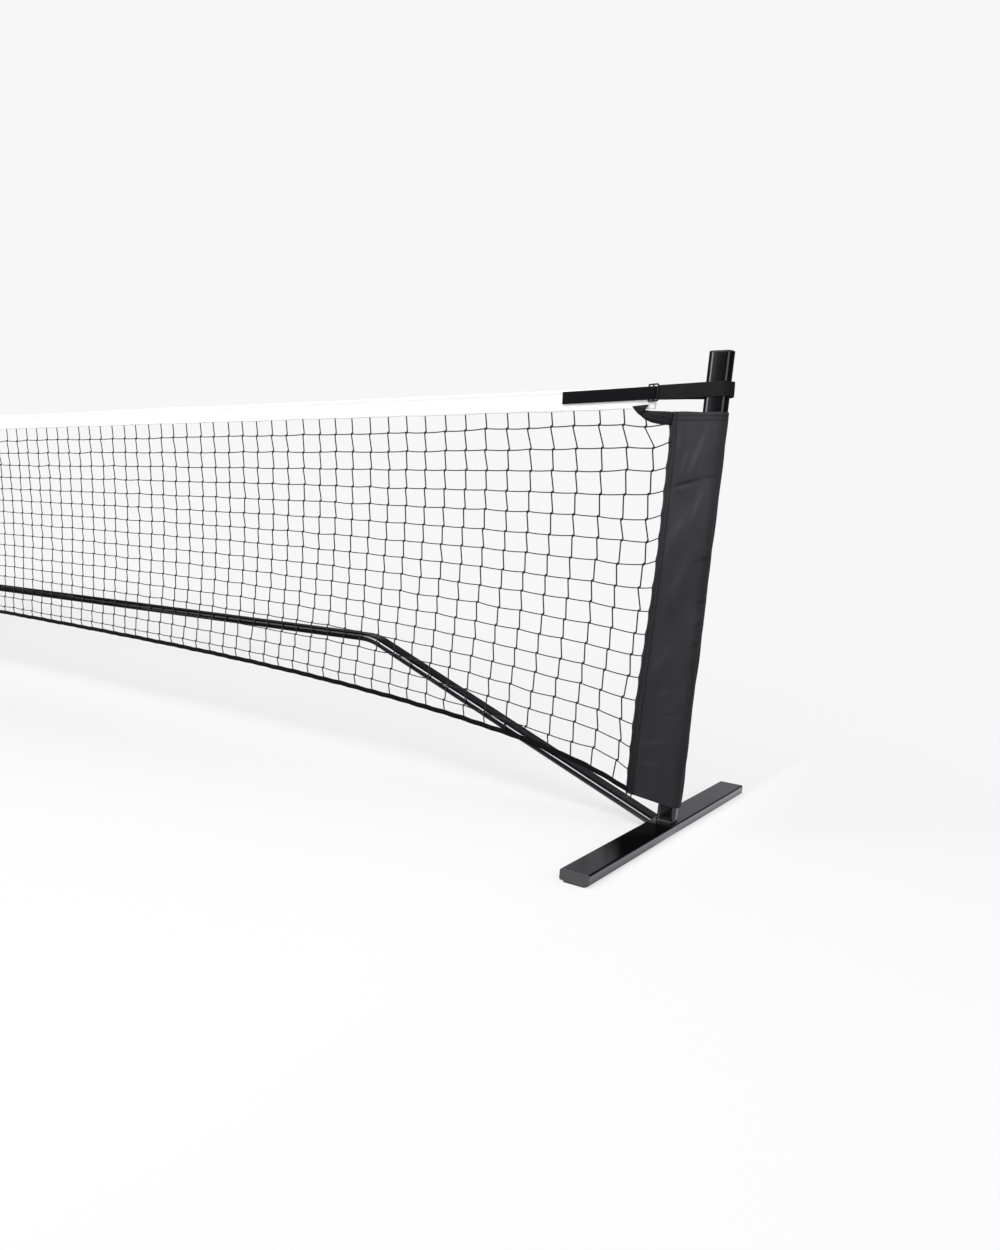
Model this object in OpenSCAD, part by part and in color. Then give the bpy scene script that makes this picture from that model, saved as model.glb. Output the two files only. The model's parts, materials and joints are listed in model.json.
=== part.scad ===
// Portable pickleball net. Two end feet carry lift-off uprights, a low frame of oval tubes snaps
// together between them, and a full net hangs from the uprights with a support at its centre.
// The net runs along X and faces -Y, the floor is z = 0, and x = 0 is the centre of the net.

/* [Net] */
// Distance between the centres of the two uprights
post_span = 6706; // [5600:1:7600]
// Height of the net's top edge at the uprights
net_top_end = 914; // [880:1:940]
// Height of the net's top edge at the centre
net_top_mid = 864; // [830:1:900]
// Height of the white band along the top edge
band_h = 42; // [30:1:55]
// Thickness of the folded band
band_t = 3; // [2:0.2:4]
// Distance from the upright's centre to the end of the band
band_end_u = 118; // [112:1:150]
// How far the net hangs in front of the frame's plane
net_front = 20; // [18.5:0.1:24]
// Thickness of the netting
net_t = 2.4; // [1.4:0.1:3]
// Width of one strand of the netting
strand_w = 6; // [3:0.5:12]
// Number of gaps along the netting
gaps_x = 50; // [20:1:50]
// Number of gaps up the netting
gaps_z = 6; // [3:1:6]
// Height of the bottom tape
hem_h = 12; // [8:1:20]
// Thickness of the bottom tape
hem_t = 3; // [2:0.2:4]
// Height of the bottom tape's centre line where it meets a sleeve
hem_end_z = 81; // [65:1:95]
// Height of the bottom tape's centre line far from the sleeves
hem_mid_z = 219; // [180:1:260]
// Distance over which the bottom tape rises from a sleeve
hem_rise_l = 450; // [250:1:600]

/* [Sleeves] */
// Height of the top edge of a sleeve
sleeve_top = 862; // [800:1:875]
// Height of the bottom edge of a sleeve
sleeve_bottom = 65; // [60:1:70]
// Thickness of the sleeve's fabric
sleeve_t = 1.4; // [0.8:0.1:2]
// Distance from the upright's centre to the sleeve's inner edge
sleeve_u = 90; // [82:1:100]
// Width of the flat seam along the sleeve's inner edge
seam_w = 20; // [12:1:26]
// Extra room on the outer side at the bottom of the sleeve
sleeve_flare = 2; // [0:1:16]
// Space between the sleeve's fabric and the upright
sleeve_gap = 0.4; // [0.3:0.1:1]
// How far the folded corner tab reaches from the upright's centre
tab_u = 152; // [140:1:160]
// Height of the corner tab
tab_h = 30; // [20:1:40]
// Thickness of the folded corner tab
tab_t = 2.2; // [1.4:0.1:3]
// Diameter of the small loop that ties the bottom tape to the sleeve
loop_d = 15; // [12:1:20]
// Thickness of that loop
loop_t = 3; // [2:0.5:4]

/* [Straps] */
// Width of the webbing strap
strap_w = 28; // [20:1:30]
// Thickness of the webbing
strap_t = 1.6; // [1:0.1:2.4]
// Height of the strap's centre line at the upright
strap_z = 905; // [895:1:930]
// Slope of the strap towards the net in degrees
strap_slope = 2.6; // [0:0.1:4]
// Distance from the upright's centre to the free end of the strap
strap_end_u = 330; // [260:1:420]
// Distance from the upright's centre to the middle of the buckle
buckle_u = 124; // [118:1:140]
// Width of the buckle along the strap
buckle_l = 22; // [20:1:28]
// Thickness of the buckle's bars
buckle_bar = 2.6; // [2:0.1:3.4]

/* [Uprights] */
// Height of the top of an upright's cap
upright_top = 975; // [950:1:1020]
// Height of the bottom end of an upright
upright_bottom = 72; // [68:1:90]
// Width of the upright's tube along the net
post_w = 48; // [40:1:52]
// Depth of the upright's tube across the net
post_d = 30; // [26:1:32]
// Corner radius of the upright's tube
post_r = 12; // [9:0.5:12.5]
// Wall of the upright's tube
post_wall = 2.5; // [1.5:0.1:3]
// Height of the top of the stub that an upright drops over
stub_top = 150; // [130:1:220]
// Diameter of the pin that an upright stands on
pin_d = 5; // [4:0.5:6]
// Thickness of a cap or plug where it covers a tube's end
cap_t = 3; // [2:0.5:5]
// Depth of a cap or plug inside its tube
cap_in = 15; // [8:1:30]

/* [Feet] */
// Length of an end foot
foot_l = 860; // [600:1:1000]
// Length of the centre foot
mid_foot_l = 560; // [400:1:800]
// Width of a foot's tube
foot_w = 60; // [54:1:70]
// Height of a foot's tube
foot_h = 22; // [20:1:26]
// Corner radius of a foot's tube
foot_r = 4; // [3:0.5:6]
// Wall of a foot's tube
foot_wall = 2; // [1.5:0.1:2.5]
// Thickness of the rubber pads under a foot
pad_t = 3; // [2:0.5:5]
// Length of a rubber pad along the foot
pad_l = 48; // [30:1:80]
// Width of a rubber pad
pad_w = 46; // [30:1:48]

/* [Frame tubes] */
// Width of a frame tube across the net
rail_w = 46; // [40:1:50]
// How far a frame tube's front stands before the uprights' axis
rail_front = 17; // [15:0.5:17.5]
// Thickness of a frame tube
rail_t = 19; // [18:1:22]
// Corner radius of a frame tube
rail_r = 7.5; // [6:0.5:7.5]
// Wall of a frame tube and of its reduced end
rail_wall = 2; // [1.2:0.1:2.2]
// Height at which a frame tube's axis crosses the upright's axis
rail_start_z = 4; // [3:1:10]
// Distance from the upright's centre to the bend in an end tube
bend_u = 844; // [700:1:950]
// Height of the bend in an end tube
bend_z = 324; // [250:1:380]
// Height of the frame tubes' axis at the centre
rail_mid_z = 292; // [230:1:300]
// Radius of the bend along the tube's axis
bend_r = 160; // [100:1:300]
// Bare length of the foot's stub between the upright's axis and the end tube
rail_bare = 43; // [40:1:60]
// Straight length of an end tube past the bend's corner
end_run = 244; // [200:1:320]
// Length of the reduced end that slides into the next tube
spigot_l = 80; // [74:1:120]
// Half the length of the body of the centre tee
tee_half = 60; // [40:1:100]

/* [Snap buttons] */
// Diameter of a snap button
button_d = 7; // [5:0.5:7.5]
// How far a button stands out of its tube
button_out = 2.2; // [1.5:0.1:3]
// Thickness of the leaf spring
leaf_t = 0.8; // [0.5:0.1:1]
// Width of the leaf spring
leaf_w = 5; // [4:0.5:5]
// Length of the leaf spring
leaf_l = 36; // [34:1:38]
// Space between the leaf spring and the tube's side walls
leaf_gap = 0.25; // [0.25:0.05:0.5]

/* [Centre support] */
// Outer diameter of the centre pole
pole_d = 16; // [12:1:18]
// Wall of the centre pole
pole_wall = 1.5; // [1:0.1:2]
// Wall of the socket that holds the pole
socket_wall = 3; // [2:0.5:4]
// Height of the socket above the frame tubes' axis
socket_h = 70; // [40:1:120]
// Distance from the net's top edge down to the top of the pole's cap
pole_drop = 4; // [3:1:10]
// Length of the pocket that holds the top of the pole
pocket_l = 160; // [80:1:240]
// Thickness of the pocket's fabric
pocket_t = 1.4; // [0.8:0.1:2]

/* [Fits] */
// Running clearance on each side of a sliding tube, pin or button
slide_gap = 0.05; // [0.03:0.01:0.1]
// Space between soft pieces that are sewn together
sewn_gap = 0.3; // [0.3:0.05:0.5]

/* [Hidden] */
$fn = 48;

steel = [0.07, 0.07, 0.08];
rubber = [0.10, 0.10, 0.11];
plastic = [0.16, 0.16, 0.17];
zinc = [0.72, 0.72, 0.70];
black_cloth = [0.13, 0.13, 0.14];
white_cloth = [0.95, 0.95, 0.94];
twine = [0.10, 0.10, 0.10];

post_x = post_span / 2;
overlap = 0.02;
soft_fn = 32;
bend_fn = 180;

// Tube ends that slide into one another
stub_w = post_w - 2 * post_wall - 2 * slide_gap;
stub_d = post_d - 2 * post_wall - 2 * slide_gap;
stub_r = post_r - post_wall - slide_gap;
rail_y = rail_w / 2 - rail_front;
spigot_w = rail_w - 2 * rail_wall - 2 * slide_gap;
spigot_t = rail_t - 2 * rail_wall - 2 * slide_gap;
spigot_r = rail_r - rail_wall - slide_gap;

// Feet
foot_top = pad_t + foot_h;
pin_z = upright_bottom - pin_d / 2;

// The frame tubes' centre line: up from the foot, round the bend, then along to the centre
slope_up = atan2(bend_z - rail_start_z, bend_u);
slope_down = atan2(bend_z - rail_mid_z, post_x - bend_u);
bend_angle = slope_up + slope_down;
bend_tangent = bend_r * tan(bend_angle / 2);
bend_swell = 0.05;
bend_lap = 1;
rise_l = norm([bend_u, bend_z - rail_start_z]);
run_l = norm([post_x - bend_u, bend_z - rail_mid_z]);
tee_v = run_l - tee_half;
inner_v = (end_run + tee_v) / 2;
button_back = spigot_l / 2;

// Net
band_slope = (net_top_end - net_top_mid) / post_x;
hem_end_u = sleeve_u + sewn_gap;
strap_gap = 1;
anchor_l = 26;
nose_r = 0.4;
strap_front = net_front + band_t / 2;
anchor_front = strap_front + sewn_gap + strap_t;
buckle_y = anchor_front + sewn_gap;

// Height of the band's top edge at a distance x from the centre
function top_z(x) = net_top_mid + band_slope * abs(x);
// Height of the bottom tape's centre line: it rises from each sleeve and levels out
function hem_z(x) = hem_mid_z - (hem_mid_z - hem_end_z)
    * exp(-(post_x - hem_end_u - abs(x)) / hem_rise_l);

// Outline of an oval tube: a rectangle with round corners
module oval(w, h, r) {
    square([w - 2 * r, h], center = true);
    square([w, h - 2 * r], center = true);
    for (sx = [-1, 1], sy = [-1, 1])
        translate([sx * (w / 2 - r), sy * (h / 2 - r)])
            circle(r);
}

// A bar of a frame tube's outline along +X, w across and t thick
module bar_x(l, w, t, r) {
    rotate([90, 0, 90])
        linear_extrude(l)
            oval(w, t, r);
}

// A hollow frame tube along +X
module tube_x(l, w, t, r, wall) {
    difference() {
        bar_x(l, w, t, r);
        translate([-1, 0, 0])
            bar_x(l + 2, w - 2 * wall, t - 2 * wall, r - wall);
    }
}

// The children on the right side, or their mirror image on the left
module on_side(side) {
    if (side == "right") children();
    else mirror([1, 0, 0]) children();
}

// Local +X runs up from the foot along the rising tube
module on_rise(s) {
    translate([post_x, rail_y, rail_start_z])
        mirror([1, 0, 0])
            rotate([0, -slope_up, 0])
                translate([s, 0, 0])
                    children();
}

// Local +X runs from the bend's corner towards the centre
module on_run(v) {
    translate([post_x - bend_u, rail_y, bend_z])
        mirror([1, 0, 0])
            rotate([0, slope_down, 0])
                translate([v, 0, 0])
                    children();
}

// Hole for a snap button through the back wall of a tube along local X
module button_hole() {
    rotate([-90, 0, 0])
        cylinder(h = rail_w, d = button_d + 2 * slide_gap);
}

// ---- Feet ----

module foot_tube(l) {
    color(steel)
        translate([0, (l - 2 * cap_t) / 2, pad_t + foot_h / 2])
            rotate([90, 0, 0])
                linear_extrude(l - 2 * cap_t)
                    difference() {
                        oval(foot_w, foot_h, foot_r);
                        oval(foot_w - 2 * foot_wall, foot_h - 2 * foot_wall, foot_r - foot_wall);
                    }
}

// Plugs in both ends of a foot of length l
module foot_plugs(l) {
    in_w = foot_w - 2 * foot_wall - 2 * slide_gap;
    in_h = foot_h - 2 * foot_wall - 2 * slide_gap;
    color(plastic)
        for (a = [0, 180])
            rotate([0, 0, a])
                translate([0, l / 2, pad_t + foot_h / 2])
                    rotate([90, 0, 0])
                        union() {
                            linear_extrude(cap_t)
                                oval(foot_w, foot_h, foot_r);
                            linear_extrude(cap_t + cap_in)
                                difference() {
                                    oval(in_w, in_h, foot_r - foot_wall - slide_gap);
                                    square([in_w - 4 * foot_wall, in_h - 3 * foot_wall], center = true);
                                }
                        }
}

module foot_pads(l) {
    pad_r = 5;
    color(rubber)
        for (sy = [-1, 1])
            translate([0, sy * (l - pad_l) / 2, 0])
                linear_extrude(pad_t)
                    oval(pad_w, pad_l, pad_r);
}

// The whole outline of a foot, for cutting what is welded to it
module foot_block(l) {
    translate([0, l / 2, pad_t + foot_h / 2])
        rotate([90, 0, 0])
            linear_extrude(l)
                oval(foot_w, foot_h, foot_r);
}

module post_stub() {
    color(steel)
        difference() {
            translate([post_x, 0, foot_top])
                linear_extrude(stub_top - foot_top)
                    difference() {
                        oval(stub_w, stub_d, stub_r);
                        oval(stub_w - 2 * post_wall, stub_d - 2 * post_wall, stub_r - post_wall);
                    }
            translate([post_x, 0, pin_z])
                rotate([90, 0, 0])
                    cylinder(h = post_d, d = pin_d + 2 * slide_gap, center = true);
        }
}

// The pin that an upright stands on, through both walls of its stub
module stop_pin() {
    color(zinc)
        translate([post_x, 0, pin_z])
            rotate([90, 0, 0])
                cylinder(h = post_d - 2 * slide_gap, d = pin_d, center = true);
}

module rail_stub() {
    color(steel)
        difference() {
            union() {
                on_rise(0)
                    bar_x(rail_bare, rail_w, rail_t, rail_r);
                on_rise(0)
                    bar_x(rail_bare + spigot_l, spigot_w, spigot_t, spigot_r);
            }
            on_rise(-1)
                bar_x(rail_bare + spigot_l + 2, spigot_w - 2 * rail_wall, spigot_t - 2 * rail_wall,
                    spigot_r - rail_wall);
            translate([post_x - stub_w / 2, -foot_w, 0])
                cube([foot_w, 2 * foot_w, 2 * foot_top]);
            translate([post_x, 0, 0])
                foot_block(foot_l);
            translate([post_x - foot_w / 2, -foot_l / 2, -foot_top])
                cube([foot_w, foot_l, 2 * foot_top - foot_r]);
            on_rise(rail_bare + button_back)
                button_hole();
        }
}

// ---- Uprights ----

module upright() {
    color(steel)
        translate([post_x, 0, upright_bottom])
            linear_extrude(upright_top - cap_t - upright_bottom)
                difference() {
                    oval(post_w, post_d, post_r);
                    oval(post_w - 2 * post_wall, post_d - 2 * post_wall, post_r - post_wall);
                }
}

module upright_cap() {
    skirt_t = 2;
    color(plastic)
        translate([post_x, 0, upright_top - cap_t]) {
            linear_extrude(cap_t)
                oval(post_w, post_d, post_r);
            translate([0, 0, -cap_in])
                linear_extrude(cap_in + overlap)
                    difference() {
                        oval(stub_w, stub_d, stub_r);
                        oval(stub_w - 2 * skirt_t, stub_d - 2 * skirt_t, stub_r - skirt_t);
                    }
        }
}

// ---- Frame tubes ----

// Quarter of the way round the bend starts at the origin, heads along +X and turns down
module bend(w, t, r) {
    translate([0, 0, -bend_r])
        rotate([90, 0, 0])
            rotate([0, 0, 90 - bend_angle])
                rotate_extrude(angle = bend_angle, $fn = bend_fn)
                    translate([bend_r, 0])
                        oval(t, w, r);
}

// The solid outline of the end tube, with extra length at both ends. The bend is swell thicker all
// round than the straight lengths, which reach a little way into it.
module end_rail_bar(w, t, r, swell, extra) {
    on_rise(rail_bare - extra)
        bar_x(rise_l - rail_bare - bend_tangent + extra + bend_lap, w, t, r);
    on_rise(rise_l - bend_tangent)
        bend(w + 2 * swell, t + 2 * swell, r + swell);
    on_run(bend_tangent - bend_lap)
        bar_x(end_run - bend_tangent + extra + bend_lap, w, t, r);
}

module end_rail() {
    color(steel)
        difference() {
            end_rail_bar(rail_w, rail_t, rail_r, bend_swell, 0);
            end_rail_bar(rail_w - 2 * rail_wall, rail_t - 2 * rail_wall, rail_r - rail_wall,
                -bend_swell, 1);
            on_rise(rail_bare + button_back)
                button_hole();
            on_run(end_run - button_back)
                button_hole();
        }
}

// A straight frame tube from v0 to v1 along the run, with a reduced end towards the upright
module run_rail(v0, v1) {
    color(steel)
        difference() {
            union() {
                on_run(v0)
                    bar_x(v1 - v0, rail_w, rail_t, rail_r);
                on_run(v0 - spigot_l)
                    bar_x(spigot_l + 1, spigot_w, spigot_t, spigot_r);
            }
            on_run(v0 + rail_wall)
                bar_x(v1 - v0, rail_w - 2 * rail_wall, rail_t - 2 * rail_wall, rail_r - rail_wall);
            on_run(v0 - spigot_l - 1)
                bar_x(spigot_l + 2 + rail_wall, spigot_w - 2 * rail_wall, spigot_t - 2 * rail_wall,
                    spigot_r - rail_wall);
            on_run(v0 - button_back)
                button_hole();
            on_run(v1 - button_back)
                button_hole();
        }
}

module outer_rail() {
    run_rail(end_run, inner_v);
}

module inner_rail() {
    run_rail(inner_v, tee_v);
}

// ---- Snap buttons ----

// Half the room inside a reduced end, from its axis to the wall that the button goes through
button_room = spigot_w / 2 - rail_wall;

// A domed button that points along local +Y and stands on the leaf spring
module button() {
    dome_r = 1.2;
    base_y = button_room - leaf_gap + slide_gap;
    shoulder_y = rail_w / 2 + button_out - dome_r;
    color(zinc)
        rotate([-90, 0, 0])
            rotate_extrude()
                union() {
                    translate([0, base_y])
                        square([button_d / 2, shoulder_y - base_y]);
                    translate([0, shoulder_y - overlap])
                        square([button_d / 2 - dome_r, dome_r + overlap]);
                    translate([button_d / 2 - dome_r, shoulder_y])
                        intersection() {
                            circle(dome_r);
                            translate([-overlap, -overlap])
                                square(2 * dome_r);
                        }
                }
}

// A leaf folded back on itself: one leg under the button, the other on the far wall
module leaf_spring() {
    leaf_h = 2 * (button_room - leaf_gap);
    start_x = -button_d / 2 - 1;
    fold_x = start_x + leaf_l - leaf_h / 2;
    color(zinc)
        translate([0, 0, -leaf_w / 2])
            linear_extrude(leaf_w)
                difference() {
                    union() {
                        translate([start_x, -leaf_h / 2])
                            square([fold_x - start_x, leaf_h]);
                        translate([fold_x, 0])
                            circle(leaf_h / 2);
                    }
                    translate([start_x - 1, leaf_t - leaf_h / 2])
                        square([fold_x - start_x + 1, leaf_h - 2 * leaf_t]);
                    translate([fold_x, 0])
                        circle(leaf_h / 2 - leaf_t);
                }
}

// Places its children at one of the four button positions of the right side
module at_button(place) {
    if (place == "foot") on_rise(rail_bare + button_back) children();
    if (place == "outer") on_run(end_run - button_back) mirror([1, 0, 0]) children();
    if (place == "inner") on_run(inner_v - button_back) mirror([1, 0, 0]) children();
    if (place == "centre") on_run(tee_v - button_back) mirror([1, 0, 0]) children();
}

module button_springs() {
    for (side = ["right", "left"], place = ["foot", "outer", "inner", "centre"])
        on_side(side)
            at_button(place)
                leaf_spring();
}

// ---- Centre support ----

module tee_bar() {
    on_run(tee_v)
        bar_x(tee_half + overlap, rail_w, rail_t, rail_r);
}

module centre_tee() {
    color(steel)
        difference() {
            for (side = ["right", "left"])
                on_side(side) {
                    tee_bar();
                    on_run(tee_v - spigot_l)
                        bar_x(spigot_l + 1, spigot_w, spigot_t, spigot_r);
                }
            for (side = ["right", "left"])
                on_side(side) {
                    on_run(tee_v - spigot_l - 1)
                        bar_x(spigot_l + tee_half / 2, spigot_w - 2 * rail_wall,
                            spigot_t - 2 * rail_wall, spigot_r - rail_wall);
                    on_run(tee_v - button_back)
                        button_hole();
                }
        }
}

module both_tee_bars() {
    tee_bar();
    mirror([1, 0, 0])
        tee_bar();
}

module centre_stem() {
    color(steel)
        difference() {
            translate([0, 0, foot_top])
                linear_extrude(rail_mid_z - foot_top)
                    difference() {
                        oval(stub_w, stub_d, stub_r);
                        oval(stub_w - 2 * post_wall, stub_d - 2 * post_wall, stub_r - post_wall);
                    }
            both_tee_bars();
        }
}

module pole_socket() {
    color(steel)
        difference() {
            translate([0, 0, rail_mid_z])
                cylinder(h = socket_h, d = pole_d + 2 * slide_gap + 2 * socket_wall);
            translate([0, 0, rail_mid_z - 1])
                cylinder(h = socket_h + 2, d = pole_d + 2 * slide_gap);
            both_tee_bars();
        }
}

pole_foot = rail_mid_z + rail_t / 2 + (pole_d / 2) * tan(slope_down) + 0.2;
pole_top = net_top_mid - pole_drop;

module centre_pole() {
    color(steel)
        translate([0, 0, pole_foot])
            difference() {
                cylinder(h = pole_top - cap_t - pole_foot, d = pole_d);
                translate([0, 0, -1])
                    cylinder(h = pole_top - pole_foot + 2, d = pole_d - 2 * pole_wall);
            }
}

module pole_cap() {
    color(plastic)
        translate([0, 0, pole_top - cap_t]) {
            cylinder(h = cap_t, d1 = pole_d, d2 = pole_d - cap_t);
            translate([0, 0, -cap_in])
                cylinder(h = cap_in + overlap, d = pole_d - 2 * pole_wall - 2 * slide_gap);
        }
}

// ---- Net ----

// A sheet of thickness t in the net's plane, drawn in x and z
module in_net_plane(t) {
    translate([0, -net_front + t / 2, 0])
        rotate([90, 0, 0])
            linear_extrude(t)
                children();
}

module top_band() {
    half = post_x - band_end_u;
    color(white_cloth)
        in_net_plane(band_t)
            polygon([
                [-half, top_z(half)], [0, top_z(0)], [half, top_z(half)],
                [half, top_z(half) - band_h], [0, top_z(0) - band_h], [-half, top_z(half) - band_h]
            ]);
}

// Places along the net, closer together where the bottom tape curves
hem_steps = 24;
hem_half = post_x - hem_end_u;
hem_x = [for (i = [-hem_steps:hem_steps])
    let (f = abs(i) / hem_steps) sign(i) * hem_half * (1 - pow(1 - f, 2))];

module bottom_hem() {
    color(black_cloth)
        in_net_plane(hem_t)
            polygon(concat(
                [for (x = hem_x) [x, hem_z(x) + hem_h / 2]],
                [for (i = [len(hem_x) - 1:-1:0]) [hem_x[i], hem_z(hem_x[i]) - hem_h / 2]]
            ));
}

net_half = post_x - hem_end_u;

// A place in the netting: i of gaps_x along it and j of gaps_z up it
function net_point(i, j) =
    let (x = -net_half + 2 * net_half * i / gaps_x)
    let (low = hem_z(x) + hem_h / 2 + sewn_gap)
    let (high = top_z(x) - band_h - sewn_gap)
    [x, low + (high - low) * j / gaps_z];

module net_mesh() {
    edge_w = strand_w;
    color(twine)
        in_net_plane(net_t)
            difference() {
                polygon(concat(
                    [for (x = hem_x) [x, hem_z(x) + hem_h / 2 + sewn_gap]],
                    [for (i = [gaps_x:-1:0]) net_point(i, gaps_z)]
                ));
                for (i = [0:gaps_x - 1], j = [0:gaps_z - 1])
                    net_gap(i, j, (i == 0 ? edge_w : edge_w / 2), (i == gaps_x - 1 ? edge_w : edge_w / 2),
                        (j == 0 ? edge_w : edge_w / 2), (j == gaps_z - 1 ? edge_w : edge_w / 2));
            }
}

// One gap of the netting, inside its four strands
module net_gap(i, j, left, right, low, high) {
    a = net_point(i, j);
    b = net_point(i + 1, j);
    c = net_point(i + 1, j + 1);
    d = net_point(i, j + 1);
    polygon([a + [left, low], b + [-right, low], c + [-right, -high], d + [left, -high]]);
}

// Outline of a sleeve round the upright: wall = 0 draws its hollow, wall > 0 its outside
module sleeve_outline(wall, flare) {
    w = post_w + 2 * sleeve_gap + 2 * wall;
    d = post_d + 2 * sleeve_gap + 2 * wall;
    hull() {
        translate([flare / 2, 0])
            oval(w + flare, d, post_r + sleeve_gap + wall);
        translate([-sleeve_u + seam_w - wall, -net_front])
            square([1, 0.4 + 2 * wall], center = true);
    }
}

// A sleeve's outside or hollow, from z0 up to z1 with the flare at the bottom
module sleeve_body(wall, z0, z1) {
    slice = 0.1;
    hull() {
        translate([0, 0, z0])
            linear_extrude(slice)
                sleeve_outline(wall, sleeve_flare);
        translate([0, 0, z1 - slice])
            linear_extrude(slice)
                sleeve_outline(wall, 0);
    }
}

module sleeve() {
    seam_t = 2 * sleeve_t;
    color(black_cloth)
        translate([post_x, 0, 0])
            difference() {
                union() {
                    sleeve_body(sleeve_t, sleeve_bottom, sleeve_top, $fn = soft_fn);
                    translate([-sleeve_u, -net_front - seam_t / 2, sleeve_bottom])
                        cube([seam_w, seam_t, sleeve_top - sleeve_bottom]);
                }
                sleeve_body(0, sleeve_bottom - 1, sleeve_top + 1, $fn = soft_fn);
            }
}

// The folded corner tab between the band's end and the sleeve
module corner_tab() {
    tab_top = top_z(post_x - tab_u) - band_h + 2;
    tab_in = sleeve_u - 4;
    color(black_cloth)
        translate([post_x, -net_front - band_t / 2 - sewn_gap, 0])
            rotate([90, 0, 0])
                linear_extrude(tab_t)
                    polygon([
                        [-tab_u, tab_top], [-tab_u + 34, tab_top + 2], [-tab_u + 28, tab_top - 5],
                        [-tab_u + 45, sleeve_top], [-tab_in, sleeve_top],
                        [-tab_in, sleeve_top - 0.9 * tab_h], [-tab_u + 45, tab_top - tab_h],
                        [-tab_u + 15, tab_top - 0.6 * tab_h], [-tab_u + 6, tab_top - 0.4 * tab_h]
                    ]);
}

// ---- Straps ----

// Tilts the right side's strap and buckle about the upright
module on_strap() {
    translate([post_x, 0, strap_z])
        rotate([0, -strap_slope, 0])
            children();
}

// One straight stretch of webbing between two points in plan
module strap_run(p, q) {
    hull() {
        translate(p)
            circle(d = strap_t, $fn = 12);
        translate(q)
            circle(d = strap_t, $fn = 12);
    }
}

// Outline of the loop round the upright, grown by g
module strap_loop(g) {
    hull() {
        oval(post_w + 2 * strap_gap + 2 * g, post_d + 2 * strap_gap + 2 * g, post_r + strap_gap + g);
        translate([-buckle_u + buckle_l / 2 + 4, -buckle_y + strap_t / 2 + sewn_gap])
            circle(g + nose_r);
    }
}

module strap() {
    back_y = -buckle_y + strap_t / 2 + sewn_gap;
    front_y = -buckle_y - buckle_bar - sewn_gap - strap_t / 2;
    tail_y = -strap_front - sewn_gap - strap_t / 2;
    bar_x = -buckle_u + buckle_l / 2 - buckle_bar;
    color(black_cloth)
        on_strap()
            translate([0, 0, -strap_w / 2])
                linear_extrude(strap_w, $fn = soft_fn) {
                    difference() {
                        strap_loop(strap_t);
                        strap_loop(0);
                    }
                    strap_run([bar_x + buckle_bar + 3, back_y], [bar_x, back_y]);
                    strap_run([bar_x, back_y], [-buckle_u + 2, front_y]);
                    strap_run([-buckle_u + 2, front_y], [-buckle_u - anchor_l, front_y]);
                    strap_run([-buckle_u - anchor_l, front_y], [-buckle_u - 2 * anchor_l, tail_y]);
                    strap_run([-buckle_u - 2 * anchor_l, tail_y], [-strap_end_u, tail_y]);
                }
}

// A flat buckle with a window on each side of its middle bar
module strap_buckle() {
    outer_h = strap_w + 2 * buckle_bar + 1;
    window = (buckle_l - 3 * buckle_bar) / 2;
    color(zinc)
        on_strap()
            translate([-buckle_u, -buckle_y, 0])
                rotate([90, 0, 0])
                    linear_extrude(buckle_bar)
                        difference() {
                            oval(buckle_l, outer_h, buckle_bar);
                            for (sx = [-1, 1])
                                translate([sx * (window + buckle_bar) / 2, 0])
                                    square([window, strap_w + 1], center = true);
                        }
}

// Short webbing that holds the buckle to the end of the band
module strap_anchor() {
    color(black_cloth)
        on_strap()
            translate([-buckle_u - anchor_l, -anchor_front, -strap_w / 2])
                cube([anchor_l, strap_t, strap_w]);
}

module hem_loop() {
    color(plastic)
        translate([post_x - sleeve_u - 2, -net_front - hem_t / 2 - sewn_gap - loop_t / 2, hem_end_z])
            rotate([90, 0, 0])
                rotate_extrude()
                    translate([(loop_d - loop_t) / 2, 0])
                        circle(loop_t / 2);
}

// Pocket of fabric behind the band that hangs on the centre pole
module pocket_outline(wall) {
    hull() {
        circle(pole_d / 2 + sleeve_gap + wall);
        translate([0, -net_front + band_t / 2 + sewn_gap + 0.5])
            square([pole_d + 2 * sleeve_gap + 2 * wall, 1], center = true);
    }
}

module centre_pocket() {
    pocket_top = pole_top + sleeve_gap + pocket_t;
    color(black_cloth)
        translate([0, 0, pocket_top - pocket_l])
            difference() {
                linear_extrude(pocket_l, $fn = soft_fn)
                    pocket_outline(pocket_t);
                translate([0, 0, -pocket_t])
                    linear_extrude(pocket_l, $fn = soft_fn)
                        intersection() {
                            pocket_outline(0);
                            translate([-pole_d, -net_front + band_t / 2 + sewn_gap + pocket_t])
                                square([2 * pole_d, 2 * net_front]);
                        }
            }
}

translate([post_x, 0, 0]) foot_tube(foot_l);  // foot_right
translate([-post_x, 0, 0]) foot_tube(foot_l);  // foot_left
translate([post_x, 0, 0]) foot_plugs(foot_l);  // foot_plugs_right
translate([-post_x, 0, 0]) foot_plugs(foot_l);  // foot_plugs_left
translate([post_x, 0, 0]) foot_pads(foot_l);  // foot_pads_right
translate([-post_x, 0, 0]) foot_pads(foot_l);  // foot_pads_left
on_side("right") post_stub();  // post_stub_right
on_side("left") post_stub();  // post_stub_left
on_side("right") rail_stub();  // rail_stub_right
on_side("left") rail_stub();  // rail_stub_left
for (side = ["right", "left"]) on_side(side) stop_pin();  // stop_pins
on_side("right") upright();  // upright_right
on_side("left") upright();  // upright_left
on_side("right") upright_cap();  // upright_cap_right
on_side("left") upright_cap();  // upright_cap_left
on_side("right") end_rail();  // end_rail_right
on_side("left") end_rail();  // end_rail_left
on_side("right") outer_rail();  // outer_rail_right
on_side("left") outer_rail();  // outer_rail_left
on_side("right") inner_rail();  // inner_rail_right
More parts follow.
